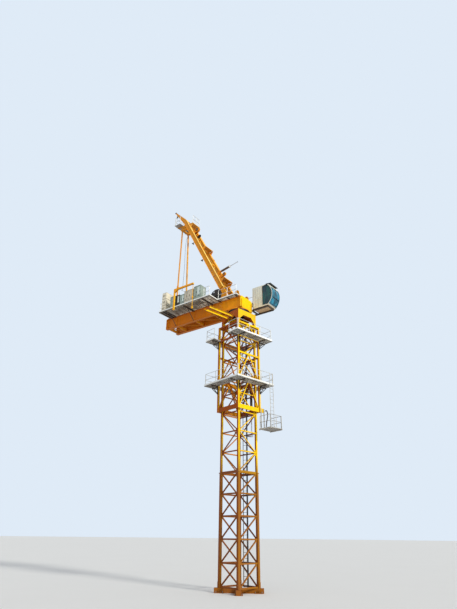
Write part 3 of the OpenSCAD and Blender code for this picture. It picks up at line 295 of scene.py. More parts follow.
def glazing(name, tint, deep, see):
    """Tinted panes with a painted reflection: their tint runs from one colour to a deeper one, as panes do
    that mirror uneven things, and grey streaks run up and down them.
    """
    g = Graph(name)
    col = g.mix(g.span(g.noise(1.5, 4, 0.6, (1, 1, 0.7)), 0.42, 0.62), tint, deep)
    col = g.mix(g.span(g.noise(5, 6, 0.6, (1, 1, 0.2)), 0.55, 0.8, 0.0, 0.25), col, (0.30, 0.32, 0.30))
    return g.finish(col, g.span(g.noise(3, 5), 0.3, 0.7, 0.04, 0.14), 0.0, Transmission_Weight=see, IOR=1.45)


# The lower mast gets a painted shadow that darkens it downwards between these heights, the girders turn
# brighter from the first x to the second
SHADOWED_HEIGHTS = (8.1, 9.6)
BRIGHTER_SPAN = (-3.6, -1.2)

M = {
    "yellow": paint("yellow_paint", (1.0, 0.65, 0.0), (0.44, 0.088, 0.002)),
    "mast": paint("mast_paint", (1.0, 0.64, 0.0), (0.29, 0.050, 0.002), 0.6, SHADOWED_HEIGHTS),
    # Painted shade: the bracing takes darker copies of the yellow and mast paints
    "shaded_brace": paint("shaded_brace_paint", (0.72, 0.29, 0.0), (0.36, 0.072, 0.002)),
    "shaded_mast_brace": paint("shaded_mast_brace_paint", (0.66, 0.24, 0.0), (0.26, 0.045, 0.002), 0.6, SHADOWED_HEIGHTS),
    "orange": paint("orange_paint", (0.94, 0.41, 0.012), (0.66, 0.195, 0.006)),
    "girder": paint("girder_paint", (0.96, 0.43, 0.010), (0.74, 0.205, 0.005), brighter_forward=BRIGHTER_SPAN),
    "amber": paint("amber_paint", (1.0, 0.50, 0.02), (0.74, 0.29, 0.015), 0.35),
    "davit": paint("davit_paint", (1.0, 0.60, 0.012), (0.92, 0.38, 0.008), 0.3),
    # Painted highlight: a paler copy of the amber paint
    "pale_highlight": paint("pale_highlight_paint", (1.0, 0.68, 0.16), (0.86, 0.42, 0.06), 0.25),
    "tie": paint("tie_paint", (0.93, 0.50, 0.07), (0.72, 0.27, 0.03), 0.35),
    "zinc": galvanised("galvanised"),
    "rail": galvanised("rail_steel", (0.60, 0.61, 0.59), (0.34, 0.30, 0.24), 0.3),
    "grate": galvanised("grating_steel", (0.66, 0.62, 0.54), (0.15, 0.115, 0.08), 0.7, 0.1),
    "mesh": galvanised("walkway_steel", (0.56, 0.55, 0.51), (0.13, 0.105, 0.08), 0.7, 0.05),
    "lip": galvanised("lip_steel", (1.0, 1.0, 0.97), (0.62, 0.60, 0.54), 0.15, 0.0),
    "kerb": galvanised("kerb_steel", (0.86, 0.87, 0.84), (0.36, 0.33, 0.28), 0.3, 0.05),
    "tread": tread_plate("tread_plate"),
    "dark": steel("dark_steel", (0.035, 0.034, 0.034), 0.45, 0.5),
    "frame": steel("frame_steel", (0.06, 0.05, 0.045), 0.6, 0.2, (0.12, 0.08, 0.05)),
    "bolt": steel("bolt_steel", (0.30, 0.29, 0.27), 0.42, 0.9),
    "rope": steel("rope_wire", (0.11, 0.10, 0.09), 0.5, 0.8, (0.05, 0.035, 0.02), 0.7),
    "chrome": steel("rod_steel", (0.62, 0.62, 0.62), 0.2, 1.0, (0.30, 0.27, 0.24), 0.3),
    "buffer": steel("buffer_paint", (0.10, 0.062, 0.040), 0.5, 0.1),
    "concrete": concrete("ballast_concrete"),
    "green": sheet_paint("grey_green_paint", (0.33, 0.42, 0.38), (0.12, 0.13, 0.11), stained=0.65),
    "cream": sheet_paint("cream_paint", (0.60, 0.55, 0.44), (0.26, 0.20, 0.13), stained=0.45),
    "cab": sheet_paint("cab_paint", (0.77, 0.77, 0.66), (0.34, 0.29, 0.20), stained=0.4),
    "black": sheet_paint("black_paint", (0.022, 0.024, 0.028), (0.10, 0.09, 0.08), 0.35),
    "tan": sheet_paint("floor_panel", (0.66, 0.45, 0.24), (0.26, 0.15, 0.07), 0.5),
    "glass": glazing("cab_glazing", (0.03, 0.36, 0.56), (0.012, 0.10, 0.16), 0.2),
    "rim": glazing("rim_glazing", (0.02, 0.27, 0.42), (0.010, 0.10, 0.15), 0.0),
    "smoked": glazing("side_glazing", (0.020, 0.12, 0.11), (0.012, 0.045, 0.065), 0.2),
    "rubber": steel("rubber", (0.018, 0.018, 0.018), 0.75, 0.0, (0.06, 0.05, 0.045), 0.4),
    "seat": steel("seat_cloth", (0.03, 0.032, 0.04), 0.9, 0.0, (0.05, 0.045, 0.04), 0.4),
    "leaf": sheet_paint("leaf_paint", (0.62, 0.72, 0.70), (0.22, 0.24, 0.21), 0.3, 0.4),
    "white": sheet_paint("white_paint", (0.76, 0.76, 0.72), (0.40, 0.36, 0.30), 0.35, 0.25),
}


# Shapes

def angles(count, start=0.0):
    """Evenly spread angles of a full turn, start counted in steps."""
    return [2 * pi * (k + start) / count for k in range(count)]


class Shape:
    """Collects boxes, rods, lathed parts and plates, then makes one mesh of them."""

    def __init__(self, finish):
        self.verts, self.faces, self.which, self.mats = [], [], [], []
        self.at = Matrix.Identity(4)
        self.use(finish)

    def use(self, finish):
        """Names the finish of all that is drawn from here on."""
        if finish not in self.mats:
            self.mats.append(finish)
        self.mat = self.mats.index(finish)

    def add(self, verts, faces):
        n = len(self.verts)
        self.verts += [self.at @ Vector(v) for v in verts]
        self.faces += [[n + i for i in f] for f in faces]
        self.which += [self.mat] * len(faces)

    def box(self, lo, hi, chamfer=0.0):
        """A box, its upright and level edges cut off by chamfer where that is given."""
        (x0, y0, z0), (x1, y1, z1) = lo, hi
        if not chamfer:
            self.add([(x, y, z) for z in (z0, z1) for y in (y0, y1) for x in (x0, x1)],
                     [(0, 2, 3, 1), (4, 5, 7, 6), (0, 1, 5, 4), (2, 6, 7, 3), (0, 4, 6, 2), (1, 3, 7, 5)])
            return
        c = chamfer
        ring = [(x0 + c, y0), (x1 - c, y0), (x1, y0 + c), (x1, y1 - c), (x1 - c, y1), (x0 + c, y1),
                (x0, y1 - c), (x0, y0 + c)]
        mx, my = (x0 + x1) / 2, (y0 + y1) / 2
        inner = [(mx + (x - mx) * (1 - 2 * c / (x1 - x0)), my + (y - my) * (1 - 2 * c / (y1 - y0)))
                 for x, y in ring]
        verts = [(x, y, z0) for x, y in inner] + [(x, y, z0 + c) for x, y in ring]
        verts += [(x, y, z1 - c) for x, y in ring] + [(x, y, z1) for x, y in inner]
        faces = [tuple(range(7, -1, -1)), tuple(range(24, 32))]
        faces += [(8 * k + i, 8 * k + (i + 1) % 8, 8 * k + 8 + (i + 1) % 8, 8 * k + 8 + i)
                  for k in range(3) for i in range(8)]
        self.add(verts, faces)

    def lathe(self, a, b, profile, sides=16):
        """A revolved part about the line from a to b; profile gives distance along it and radius."""
        a, b = Vector(a), Vector(b)
        turn = (b - a).to_track_quat("Z", "Y").to_matrix()
        verts = [a + turn @ Vector((r * cos(t), r * sin(t), h))
                 for h, r in profile for t in angles(sides)]
        faces = [(sides * k + i, sides * k + (i + 1) % sides, sides * (k + 1) + (i + 1) % sides,
                  sides * (k + 1) + i) for k in range(len(profile) - 1) for i in range(sides)]
        faces.append(tuple(range(sides - 1, -1, -1)))
        faces.append(tuple(sides * (len(profile) - 1) + i for i in range(sides)))
        self.add(verts, faces)

    def rod(self, a, b, r, sides=8):
        length = (Vector(b) - Vector(a)).length
        self.lathe(a, b, [(0, r), (length, r)], sides)

    def nut(self, a, axis, r, h):
        """A hexagon head with a washer and a domed end, sitting at a and pointing along axis."""
        a, axis = Vector(a), Vector(axis).normalized()
        self.lathe(a, a + axis * h, [(0, r * 1.25), (h * 0.12, r * 1.25), (h * 0.13, r), (h * 0.85, r),
                                     (h, r * 0.8)], 6)

    def tube(self, path, r, sides=6, closed=False):
        """A pipe along a path of points."""
        pts = [Vector(p) for p in path]
        n = len(pts)
        verts, faces = [], []
        side = None
        for i, p in enumerate(pts):
            if closed:
                d = pts[(i + 1) % n] - pts[i - 1]
            else:
                d = pts[min(i + 1, n - 1)] - pts[max(i - 1, 0)]
            d.normalize()
            if side is None:
                side = d.orthogonal().normalized()
            side = (side - d * side.dot(d)).normalized()
            other = d.cross(side)
            verts += [p + r * (cos(t) * side + sin(t) * other) for t in angles(sides)]
        for i in range(n if closed else n - 1):
            j = (i + 1) % n
            faces += [(sides * i + k, sides * i + (k + 1) % sides, sides * j + (k + 1) % sides, sides * j + k)
                      for k in range(sides)]
        if not closed:
            faces.append(tuple(range(sides - 1, -1, -1)))
            faces.append(tuple(sides * (n - 1) + k for k in range(sides)))
        self.add(verts, faces)

    def plate(self, outline, y, thick):
        """An upright plate: an outline in x and z, with one face at y and thick towards the right."""
        n = len(outline)
        verts = [(x, y, z) for x, z in outline] + [(x, y - thick, z) for x, z in outline]
        faces = [tuple(range(n - 1, -1, -1)), tuple(range(n, 2 * n))]
        faces += [(i, (i + 1) % n, n + (i + 1) % n, n + i) for i in range(n)]
        self.add(verts, faces)

    def make(self, name, body, stands_for=()):
        """Makes the mesh, smooth but for its sharp edges, and hangs it on a body."""
        mesh = bpy.data.meshes.new(name)
        mesh.from_pydata([tuple(v) for v in self.verts], [], self.faces)
        for m in self.mats:
            mesh.materials.append(M[m])
        mesh.polygons.foreach_set("material_index", self.which)
        mesh.polygons.foreach_set("use_smooth", [True] * len(mesh.polygons))
        mesh.set_sharp_from_angle(angle=radians(38))
        mesh.update()
        mesh.validate()
        o = bpy.data.objects.new(name, mesh)
        bpy.context.scene.collection.objects.link(o)
        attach(o, body)
        if stands_for:
            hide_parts(*stands_for)


def curve_points(points, steps=8):
    """A smooth line through the given points."""
    pts = [Vector(p) for p in points]
    pts = [2 * pts[0] - pts[1]] + pts + [2 * pts[-1] - pts[-2]]
    out = []
    for i in range(1, len(pts) - 2):
        p0, p1, p2, p3 = pts[i - 1:i + 3]
        for k in range(steps):
            t = k / steps
            out.append(0.5 * (2 * p1 + (p2 - p0) * t + (2 * p0 - 5 * p1 + 4 * p2 - p3) * t * t
                              + (3 * p1 - p0 - 3 * p2 + p3) * t ** 3))
    out.append(pts[-2])
    return out


def sides4(shape):
    """Runs a drawing once for each side of the mast, +X first."""
    for n in range(4):
        shape.at = MAST_TURN @ Matrix.Rotation(n * pi / 2, 4, "Z")
        yield n


# Finishes of the part's own nodes

def dress(name, *mats):
    """Gives a node of the part its finish, or several."""
    o = nodes[name]
    o.data.materials.clear()
    for m in mats:
        o.data.materials.append(M[m])
    return o


def sort_faces(o, test):
    """Gives each face of a node the finish that test picks from its middle and its direction."""
    for p in o.data.polygons:
        p.material_index = test(p.center, p.normal)


FINISHES = {
    "mast": ("base_frame", "mast_posts", "mast_front"),
    # Bracing of the mast and the cage in the darker copies of their paint, a painted shade
    "shaded_mast_brace": ("mast_back", "mast_left", "mast_right"),
    "yellow": ("slewing_support", "entry_beams", "cage_posts", "cage_front", "front_plate"),
    "shaded_brace": ("cage_back", "cage_left", "cage_right"),
    "girder": ("turntable", "right_girder", "left_girder"),
    "amber": ("jib_foot_brackets", "strut_feet", "apex_head", "apex_sheaves"),
    "davit": ("hoist_davit",),
    "tie": ("rear_ties",),
    "rail": ("cage_rails", "deck_rails"),
    "dark": ("slewing_ring_lower", "slewing_ring_upper", "cage_rollers", "winch_frames", "guide_sheave",
             "ram_cylinder", "hoist_drum", "luffing_drum"),
    "frame": ("cab_frame", "mast_ladder"),
    "rubber": ("cable_duct",),
    "chrome": ("ram_rod", "backstop_rod"),
    "green": ("switch_cabinets",),
    "black": ("dark_cabinet",),
    "cream": ("cream_cabinet",),
    "zinc": ("landing_platform",),
}
BALLAST_TOP = FLOOR_Z + 2.221
FRONT_FLOOR_LOW, FRONT_FLOOR_TOP = 35.6, 36.04
REAR_FLOOR_LOW, REAR_FLOOR_TOP = 36.14, 36.2
REAR_FLOOR_END = -8.34
LEG_HALF = 0.23
LEG_SKIN = 0.2


def ahead(c):
    """How far a point lies in front of the middle of the A-frame's legs."""
    return (c.x - FOOT_X) * cos(LEAN) + (c.z - PIN_Z) * sin(LEAN)


def beam_face(c, n):
    """Beams between the girders are painted, what hangs below or reaches outside is dark."""
    return 0 if abs(c.y) < GIRDER_Y and c.z < GIRDER_Z + 0.3 else 1


def floor_face(c, n):
    """Platforms of the A-frame: 0 painted, 1 zinc, 2 rails, 3 the top floor in front, in the pale paint that
    carries a painted highlight.
    """
    v = ahead(c)
    if abs(v) < LEG_SKIN:
        return 2
    if v > 0:
        return 2 if c.z > FRONT_FLOOR_TOP else 3 if c.z > FRONT_FLOOR_LOW else 0
    if c.z < REAR_FLOOR_LOW:
        return 0
    return 2 if c.z > REAR_FLOOR_TOP and c.x > REAR_FLOOR_END else 1


def cab_face(c, n):
    """The cab's shell: 1 black visor, 2 tan underside, 3 glazed front corners, 0 the rest."""
    cab_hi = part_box("cab_shell")[1]
    if c.z > cab_hi.z - 0.14 and c.x > cab_hi.x - 0.95:
        return 1
    if n.z < -0.8 and c.z < CZ + 0.035:
        return 2
    return 3 if n.x > 0.3 and c.x > CX + 1.5 and CZ + 0.06 < c.z < CZ + 1.8 else 0


def pane_face(c, n):
    """Side panes are smoked, the round front is blue-green."""
    return 0 if abs(n.y) > 0.9 and (c.y < CY + 0.07 or c.y > CY + CAB_W - 0.07) else 1


for finish, names in FINISHES.items():
    for name in names:
        dress(name, finish)
sort_faces(dress("cross_beams", "orange", "frame"), beam_face)
sort_faces(dress("counterweights", "concrete", "dark"), lambda c, n: 1 if c.z > BALLAST_TOP else 0)
cylinder = dress("backstop_cylinder", "buffer", "white")
collar_x = max(v.co.x for v in cylinder.data.vertices) - 0.16
sort_faces(cylinder, lambda c, n: 1 if c.x > collar_x else 0)
sort_faces(dress("strut_platforms", "amber", "zinc", "rail", "pale_highlight"), floor_face)
# The near leg's front face takes the pale paint, a painted highlight along its flange
sort_faces(dress("strut_legs", "amber", "pale_highlight"),
           lambda c, n: 1 if abs(ahead(c) - LEG_HALF) < 0.003 and c.y < 0 else 0)
sort_faces(dress("cab_shell", "cab", "black", "tan", "rim"), cab_face)
sort_faces(dress("cab_glass", "smoked", "glass"), pane_face)


# Gratings and walkways

def grating(shape, x0, x1, y0, y1, z, along_y, holes=()):
    """Bearing bars in one direction, thin cross bars in the other, in a flat frame. holes are kept free."""
    rim, top = 0.012, z + 0.058
    bearing = (0.05, top - 0.045, top, 0.006)
    cross = (0.2, top - 0.012, top - 0.002, 0.008)

    def free(lo, hi, fixed, on_y):
        """The stretches of a bar that no hole cuts."""
        spans = [(lo, hi)]
        for hx0, hx1, hy0, hy1 in holes:
            f0, f1, s0, s1 = (hx0, hx1, hy0, hy1) if on_y else (hy0, hy1, hx0, hx1)
            if f0 < fixed < f1:
                cut = [p for a, b in spans for p in ((a, min(b, s0)), (max(a, s1), b))]
                spans = [p for p in cut if p[1] - p[0] > 0.02]
        return spans

    def bars(on_y, step, z0, z1, thick):
        lo, hi, start, stop = (y0, y1, x0, x1) if on_y else (x0, x1, y0, y1)
        count = max(1, round((stop - start) / step))
        for i in range(count + 1):
            p = start + (stop - start) * i / count
            p = min(max(p, start + thick), stop - thick)
            for a, b in free(lo, hi, p, on_y):
                if on_y:
                    shape.box((p - thick / 2, a, z0), (p + thick / 2, b, z1))
                else:
                    shape.box((a, p - thick / 2, z0), (b, p + thick / 2, z1))

    bars(along_y, *bearing)
    bars(not along_y, *cross)
    for y in (y0, y1 - rim):
        shape.box((x0, y, z), (x1, y + rim, top))
    for x in (x0, x1 - rim):
        shape.box((x, y0, z), (x + rim, y1, top))
    fields = max(2, int((x1 - x0) / 1.2))
    for i in range(1, fields):
        x = x0 + (x1 - x0) * i / fields
        for a, b in free(y0, y1, x, True):
            shape.box((x - 0.02, a, z), (x + 0.02, b, z + 0.014))


KERB_T = 0.008


def kerb(shape, a, b, z, h):
    """An upright kerb plate between two points on the floor's rim."""
    (ax, ay), (bx, by) = a, b
    shape.box((min(ax, bx) - (KERB_T if ax == bx else 0), min(ay, by) - (KERB_T if ay == by else 0), z),
              (max(ax, bx), max(ay, by), z + h))


def deck_floor():
    """The deck's gratings with their joists, tread plates and kerbs."""
    deck = Shape("grate")
    rear, right_rear = REAR + 0.18, REAR + 0.48
    inner, strip = 0.95, -1.35
    step_x, right_front, left_front = -1.6, 0.65, 0.75
    grating(deck, right_rear, step_x, RIGHT_EDGE, -inner, DECK_Z, True)
    grating(deck, step_x, right_front, strip, -inner, DECK_Z, True)
    grating(deck, rear, left_front, inner, LEFT_EDGE, DECK_Z, True)

    y0, y1 = RIGHT_EDGE + 0.03, -inner - 0.03
    for k in range(11):
        x = right_rear + 0.35 + 0.585 * k
        deck.box((x - 0.025, y0, DECK_Z - 0.05), (x + 0.025, y1, DECK_Z))
        deck.box((x + 0.025, y0, DECK_Z - 0.05), (x + 0.07, y1, DECK_Z - 0.044))

    deck.use("tread")
    low, seam = DECK_Z + 0.001, 0.003
    notch0, notch1 = TIE_X - 0.21, TIE_X + 0.21
    plates_end = FOOT_X - 0.5
    for x0, x1 in ((rear, notch0), (notch1, -5.6), (-5.59, -3.6), (-3.59, plates_end)):
        deck.box((x0, -inner + seam, low), (x1 - seam, inner - seam, FLOOR_Z))
    deck.box((notch0, -0.685, low), (notch1, 0.685, FLOOR_Z))
    for y0, y1 in ((-0.947, -0.915), (0.915, 0.947)):
        deck.box((notch0, y0, low), (notch1, y1, FLOOR_Z))
    deck.box((plates_end, -0.64, low), (0.85, 0.64, FLOOR_Z))

    t = KERB_T
    deck.use("kerb")
    for a, b in (((right_rear, RIGHT_EDGE + t), (step_x, RIGHT_EDGE + t)),
                 ((right_rear + t, RIGHT_EDGE), (right_rear + t, -inner)),
                 ((step_x, RIGHT_EDGE), (step_x, strip)),
                 ((step_x, strip + t), (right_front, strip + t)),
                 ((right_front, strip), (right_front, -inner)),
                 ((rear + t, inner), (rear + t, LEFT_EDGE)),
                 ((rear, LEFT_EDGE), (left_front, LEFT_EDGE)),
                 ((left_front, inner), (left_front, LEFT_EDGE))):
        kerb(deck, a, b, DECK_Z, 0.17)
    deck.make("deck_floor", "upper_works", stands_for=("deck",))


def bracket(shape, y, z):
    """A walkway's bracket: an angle under the floor, one down the cage's post and a strut between them."""
    reach, drop, t = WALK_REACH - CAGE_IN - 0.03, 0.76, 0.008
    for y0, y1 in ((y - 0.03, y - 0.03 + t), (y + 0.03 - t, y + 0.03)):
        shape.box((CAGE_IN, y0, z - 0.08), (CAGE_IN + reach, y1, z))
        shape.box((CAGE_IN, y0, z - drop), (CAGE_IN + 0.07, y1, z - 0.08))
    shape.box((CAGE_IN, y - 0.03, z - t), (CAGE_IN + reach, y + 0.03, z))
    shape.box((CAGE_IN, y - 0.03, z - drop), (CAGE_IN + t, y + 0.03, z))
    shape.rod((CAGE_IN + 0.04, y, z - 0.70), (CAGE_IN + reach - 0.04, y, z - 0.06), 0.032, 6)


def cage_floors():
    """Both walkways round the cage, the upper one open on the side where mast sections come in."""
    floors = Shape("mesh")
    r, mouth = WALK_REACH, 0.95
    ram_hole = (CAGE_HALF + 0.06, CAGE_HALF + 0.46, -0.2, 0.2)
    for z, open_side, edge in ((HIGH_WALK, True, "lip"), (LOW_WALK, False, "kerb")):
        for n in sides4(floors):
            holes = (ram_hole,) if n == 1 else ()
            floor_spans, kerb_spans = ((-r, CAGE_IN),), ((-r, r),)
            if n == 3 and open_side:
                floor_spans, kerb_spans = ((-r, -mouth), (mouth, CAGE_IN)), ((-r, -mouth), (mouth, r))
            floors.use("mesh")
            for y0, y1 in floor_spans:
                grating(floors, CAGE_IN, r, y0, y1, z, False, holes)
            floors.use(edge)
            for y0, y1 in kerb_spans:
                kerb(floors, (r, y0), (r, y1), z, 0.18)
            floors.use("frame")
            for s in (-1, 1):
                bracket(floors, s * CAGE_HALF, z)
    floors.make("cage_floors", "cage", stands_for=("cage_walkways",))


# Small fasteners

def mast_bolts():
    """Bolts of the slewing ring, the mast's joint and the support, and the anchors with their nuts."""
    bolts = Shape("bolt")
    flange_z = SUPPORT_TOP - 0.04
    for a in angles(48, 0.5):
        bolts.nut((0.955 * cos(a), 0.955 * sin(a), flange_z), DOWN, 0.02, 0.024)
    for n in sides4(bolts):
        for s in (-1, 1):
            for up in (1, -1):
                z = JOINT_Z + up * 0.0305
                for dy in (-0.05, 0.05):
                    bolts.nut((MAST_HALF + 0.105, s * MAST_HALF + dy, z), (0, 0, up), 0.016, 0.02)
            for dx in (-0.4, -0.15, 0.02):
                bolts.nut((MAST_HALF + dx, s * 0.15, flange_z), DOWN, 0.018, 0.022)
    anchor = [(0, 0.018), (0.03, 0.018), (0.0305, 0.045), (0.038, 0.045), (0.0385, 0.033), (0.07, 0.033),
              (0.0705, 0.018), (0.13, 0.018)]
    foot = Matrix.Translation((MAST_HALF * sqrt(2), 0, 0.04))
    for n in range(4):
        bolts.at = MAST_TURN @ Matrix.Rotation(radians(45 + 90 * n), 4, "Z") @ foot
        for a in angles(4, 0.5):
            x, y = 0.34 * cos(a), 0.34 * sin(a)
            bolts.lathe((x, y, -0.03), (x, y, 0.1), anchor, 12)
    bolts.make("mast_bolts", "mast")


def girder_bolts():
    """Nuts of the upper ring, where the girders cross it, and bolts of the splices and the front plate."""
    studs = Shape("bolt")
    ring_r = 1.01
    for a in angles(40, 0.5):
        x, y = ring_r * cos(a), ring_r * sin(a)
        if 0.78 <= abs(y) <= 0.97:
            studs.nut((x, y, GIRDER_Z), UP, 0.02, 0.022)
    splice_x, web_face = -1.65, 0.828
    for s in (-1, 1):
        for k in (-2.6, -1.6, -0.6, 0.6, 1.6, 2.6):
            for rise in (0.15, 0.35, 0.46, 0.70, 0.81, 1.01):
                studs.nut((splice_x + k * 0.1, s * web_face, GIRDER_Z + rise), (0, s, 0), 0.016, 0.018)
        for k in range(9):
            studs.nut((GIRDER_FRONT, s * 0.93, GIRDER_Z + 0.1 + k * 0.11), (1, 0, 0), 0.014, 0.016)
    for k in range(15):
        studs.nut((GIRDER_FRONT, -0.84 + k * 0.12, GIRDER_Z + 0.06), (1, 0, 0), 0.014, 0.016)
    studs.make("girder_bolts", "upper_works")


# Cab

# What belongs to the cab is drawn in its own frame, from its lower rear corner on the right
CAB_AT = Matrix.Translation((CX, CY, CZ))


def front_x(z, inset):
    """Where the cab's round front stands at a height, inset from the wall."""
    r = CAB_R - inset
    return CAB_L - CAB_R + sqrt(r * r - (z - CAB_H / 2) ** 2)


def cab_arc(inset, z0, z1, steps=16):
    """Points of the round front in x and z between two heights."""
    return [(front_x(z, inset), z) for z in (z0 + (z1 - z0) * i / steps for i in range(steps + 1))]


def cab_trim():
    """Rubber seals, the white lining along the front corners, the glazed corner strips and the wiper."""
    trim = Shape("rubber")
    trim.at = CAB_AT
    for y, s in ((0, -1), (CAB_W, 1)):
        trim.use("rubber")
        loop = [(1.17, 2.18), (1.17, 0.13)] + cab_arc(0.15, 0.13, 2.18)
        trim.tube([(x, y + s * 0.004, z) for x, z in loop], 0.017, closed=True)
        trim.use("white")
        trim.tube([(x, y + s * 0.006, z) for x, z in cab_arc(0.085, 0.10, 2.2)], 0.022)
        trim.use("rim")
        strip = cab_arc(0.002, 0.12, 1.8) + cab_arc(0.07, 0.12, 1.8)[::-1]
        trim.plate(strip, max(y, y + s * 0.004), 0.004)
    trim.use("rubber")
    right, left = 0.1, CAB_W - 0.1
    for y in (right, left):
        trim.tube([(x, y, z) for x, z in cab_arc(-0.004, 0.15, 1.75, 12)], 0.016)
    for z, r in ((0.15, 0.016), (0.72, 0.024), (1.75, 0.016)):
        x = front_x(z, -0.004)
        trim.rod((x, right, z), (x, left, z), r)
    trim.use("dark")
    y, z = 0.62, 1.70
    x = front_x(z, -0.03)
    trim.lathe((x - 0.02, y, z), (x + 0.04, y, z), [(0, 0.03), (0.05, 0.026), (0.06, 0.01)], 10)
    arm = [(y - 0.25 * k / 6, z - 0.11 * k) for k in range(7)]
    trim.tube([(front_x(z, -0.03), y, z) for y, z in arm], 0.008)
    blade = [1.38 - 0.09 * k for k in range(7)]
    trim.tube([(front_x(z, -0.018), 0.42, z) for z in blade], 0.011)
    trim.make("cab_trim", "upper_works")


def cab_fittings():
    """Inside the cab: floor mat, driver's seat, two lever consoles and a wall cabinet."""
    inside = Shape("tan")
    inside.at = CAB_AT
    inside.box((0.07, 0.07, 0.063), (1.9, CAB_W - 0.07, 0.09))
    inside.at = CAB_AT @ Matrix.Translation((1.05, 0.65, 0.09))
    inside.use("seat")
    inside.box((-0.26, -0.25, 0.38), (0.27, 0.25, 0.52), 0.05)
    inside.box((-0.38, -0.24, 0.50), (-0.24, 0.24, 1.15), 0.05)
    inside.box((-0.37, -0.13, 1.19), (-0.27, 0.13, 1.40), 0.035)
    inside.use("dark")
    knob = [(0, 0.016), (0.03, 0.03), (0.08, 0.032), (0.11, 0.012)]
    for y in (-0.38, 0.38):
        inside.box((-0.15, y - 0.11, 0.30), (0.42, y + 0.11, 0.66), 0.03)
        inside.rod((0.26, y, 0.65), (0.28, y, 0.86), 0.012)
        inside.lathe((0.28, y, 0.83), (0.28, y, 0.95), knob, 10)
    foot = [(0, 0.20), (0.03, 0.19), (0.06, 0.07), (0.36, 0.06), (0.38, 0.16)]
    inside.lathe((0, 0, 0), (0, 0, 0.39), foot, 12)
    inside.at = CAB_AT
    inside.use("white")
    inside.box((0.09, 0.10, 1.2), (0.34, 0.62, 2.05), 0.02)
    inside.make("cab_fittings", "upper_works")


def cab_outside():
    """Grab rails and door handle, the ribbed roof skin and the tan panel under the floor."""
    outside = Shape("rail")
    outside.at = CAB_AT
    for x in (0.16, 1.02):
        grab = [(x, -0.005, 0.5), (x, -0.075, 0.56), (x, -0.08, 0.9), (x, -0.075, 1.24), (x, -0.005, 1.3)]
        outside.tube(curve_points(grab, 5), 0.014)
    outside.use("dark")
    y = 0.93
    handle = [(-0.005, y, 0.95), (-0.06, y, 0.98), (-0.06, y, 1.2), (-0.005, y, 1.23)]
    outside.tube(curve_points(handle, 5), 0.012)
    outside.use("cab")
    skin = CAB_H + 0.02
    outside.box((0.03, 0.03, CAB_H), (1.45, CAB_W - 0.03, skin))
    for k in range(8):
        x = 0.1 + k * 0.16
        outside.box((x, 0.06, skin), (x + 0.04, CAB_W - 0.06, skin + 0.014))
    outside.use("tan")
    outside.box((0.10, 0.12, -0.022), (1.55, CAB_W - 0.12, -0.002))
    outside.make("cab_outside", "upper_works")


# Cabinets, ballast hoops and deck cables

# Each cabinet on the right walkway: its rear end, length, depth, height and number of doors
CABINETS = ((REAR + 1.85, 0.65, 0.88, 1.42, 2), (REAR + 3.17, 0.55, 0.80, 1.25, 2),
            (REAR + 4.98, 0.87, 0.88, 1.62, 2), (REAR + 2.52, 0.62, 0.90, 1.35, 2),
            (REAR + 3.74, 1.16, 0.90, 1.50, 3))
TALL_CABINET = CABINETS[2]


def cabinet(gear, x, length, depth, h, doors):
    """Handles, hinges, vents and a lifting eye at each corner of a cabinet; two doors have a pale leaf."""
    gear.at = Matrix.Translation((x, CABINET_Y, FLOOR_Z))
    w = length / doors
    for i in range(doors):
        door_x = i * w
        if doors == 2 and i == 1:
            gear.use("leaf")
            gear.box((door_x + 0.08 * w, -0.004, h * 0.36), (door_x + 0.76 * w, 0.012, h * 0.9), 0.006)
        gear.use("dark")
        hx = door_x + 0.86 * w
        gear.box((hx - 0.012, -0.014, h * 0.52), (hx + 0.012, 0.013, h * 0.64), 0.004)
        for share in (0.24, 0.5, 0.8):
            px, pz = door_x + 0.035, h * share
            gear.rod((px, 0.008, pz - 0.04), (px, 0.008, pz + 0.04), 0.011, 6)
    gear.use("bolt")
    for px in (0.08, length - 0.08):
        for py in (0.09, depth - 0.09):
            eye = [(px, py + 0.03 * cos(t), h + 0.034 + 0.03 * sin(t)) for t in angles(12)]
            gear.tube(eye, 0.008, 5, closed=True)
    for i in range(doors):
        for k in range(4):
            cx, z = (i + 0.5) * w, h * 0.24 + k * 0.055
            gear.box((cx - w * 0.27, 0.004, z + 0.012), (cx + w * 0.27, 0.02, z + 0.018))


def cabinet_fittings():
    """What sits on the cabinets, and the fan housing on the tall one with its guard rings."""
    gear = Shape("dark")
    for c in CABINETS:
        cabinet(gear, *c)
    gear.at = Matrix.Translation((TALL_CABINET[0], CABINET_Y, FLOOR_Z + TALL_CABINET[3]))
    gear.use("green")
    gear.box((0.06, 0.1, 0), (0.62, 0.78, 0.10), 0.02)
    gear.use("dark")
    for r in (0.08, 0.15, 0.22):
        guard = [(0.34 + r * cos(t), 0.44 + r * sin(t), 0.104) for t in angles(20)]
        gear.tube(guard, 0.005, 5, closed=True)
    gear.make("cabinet_fittings", "upper_works")


def hoop(shape, middle, along, out, upper, lower):
    """A lifting hoop on a block's face: it runs along the face and stands out by upper and lower."""
    path = ((-0.11, 0, 0.1), (-0.11, upper, 0.08), (-0.09, lower, -0.1),
            (0.09, lower, -0.1), (0.11, upper, 0.08), (0.11, 0, 0.1))
    middle, along, out, up = (Vector(v) for v in (middle, along, out, UP))
    shape.tube([middle + side * along + gap * out + rise * up for side, gap, rise in path], 0.018)


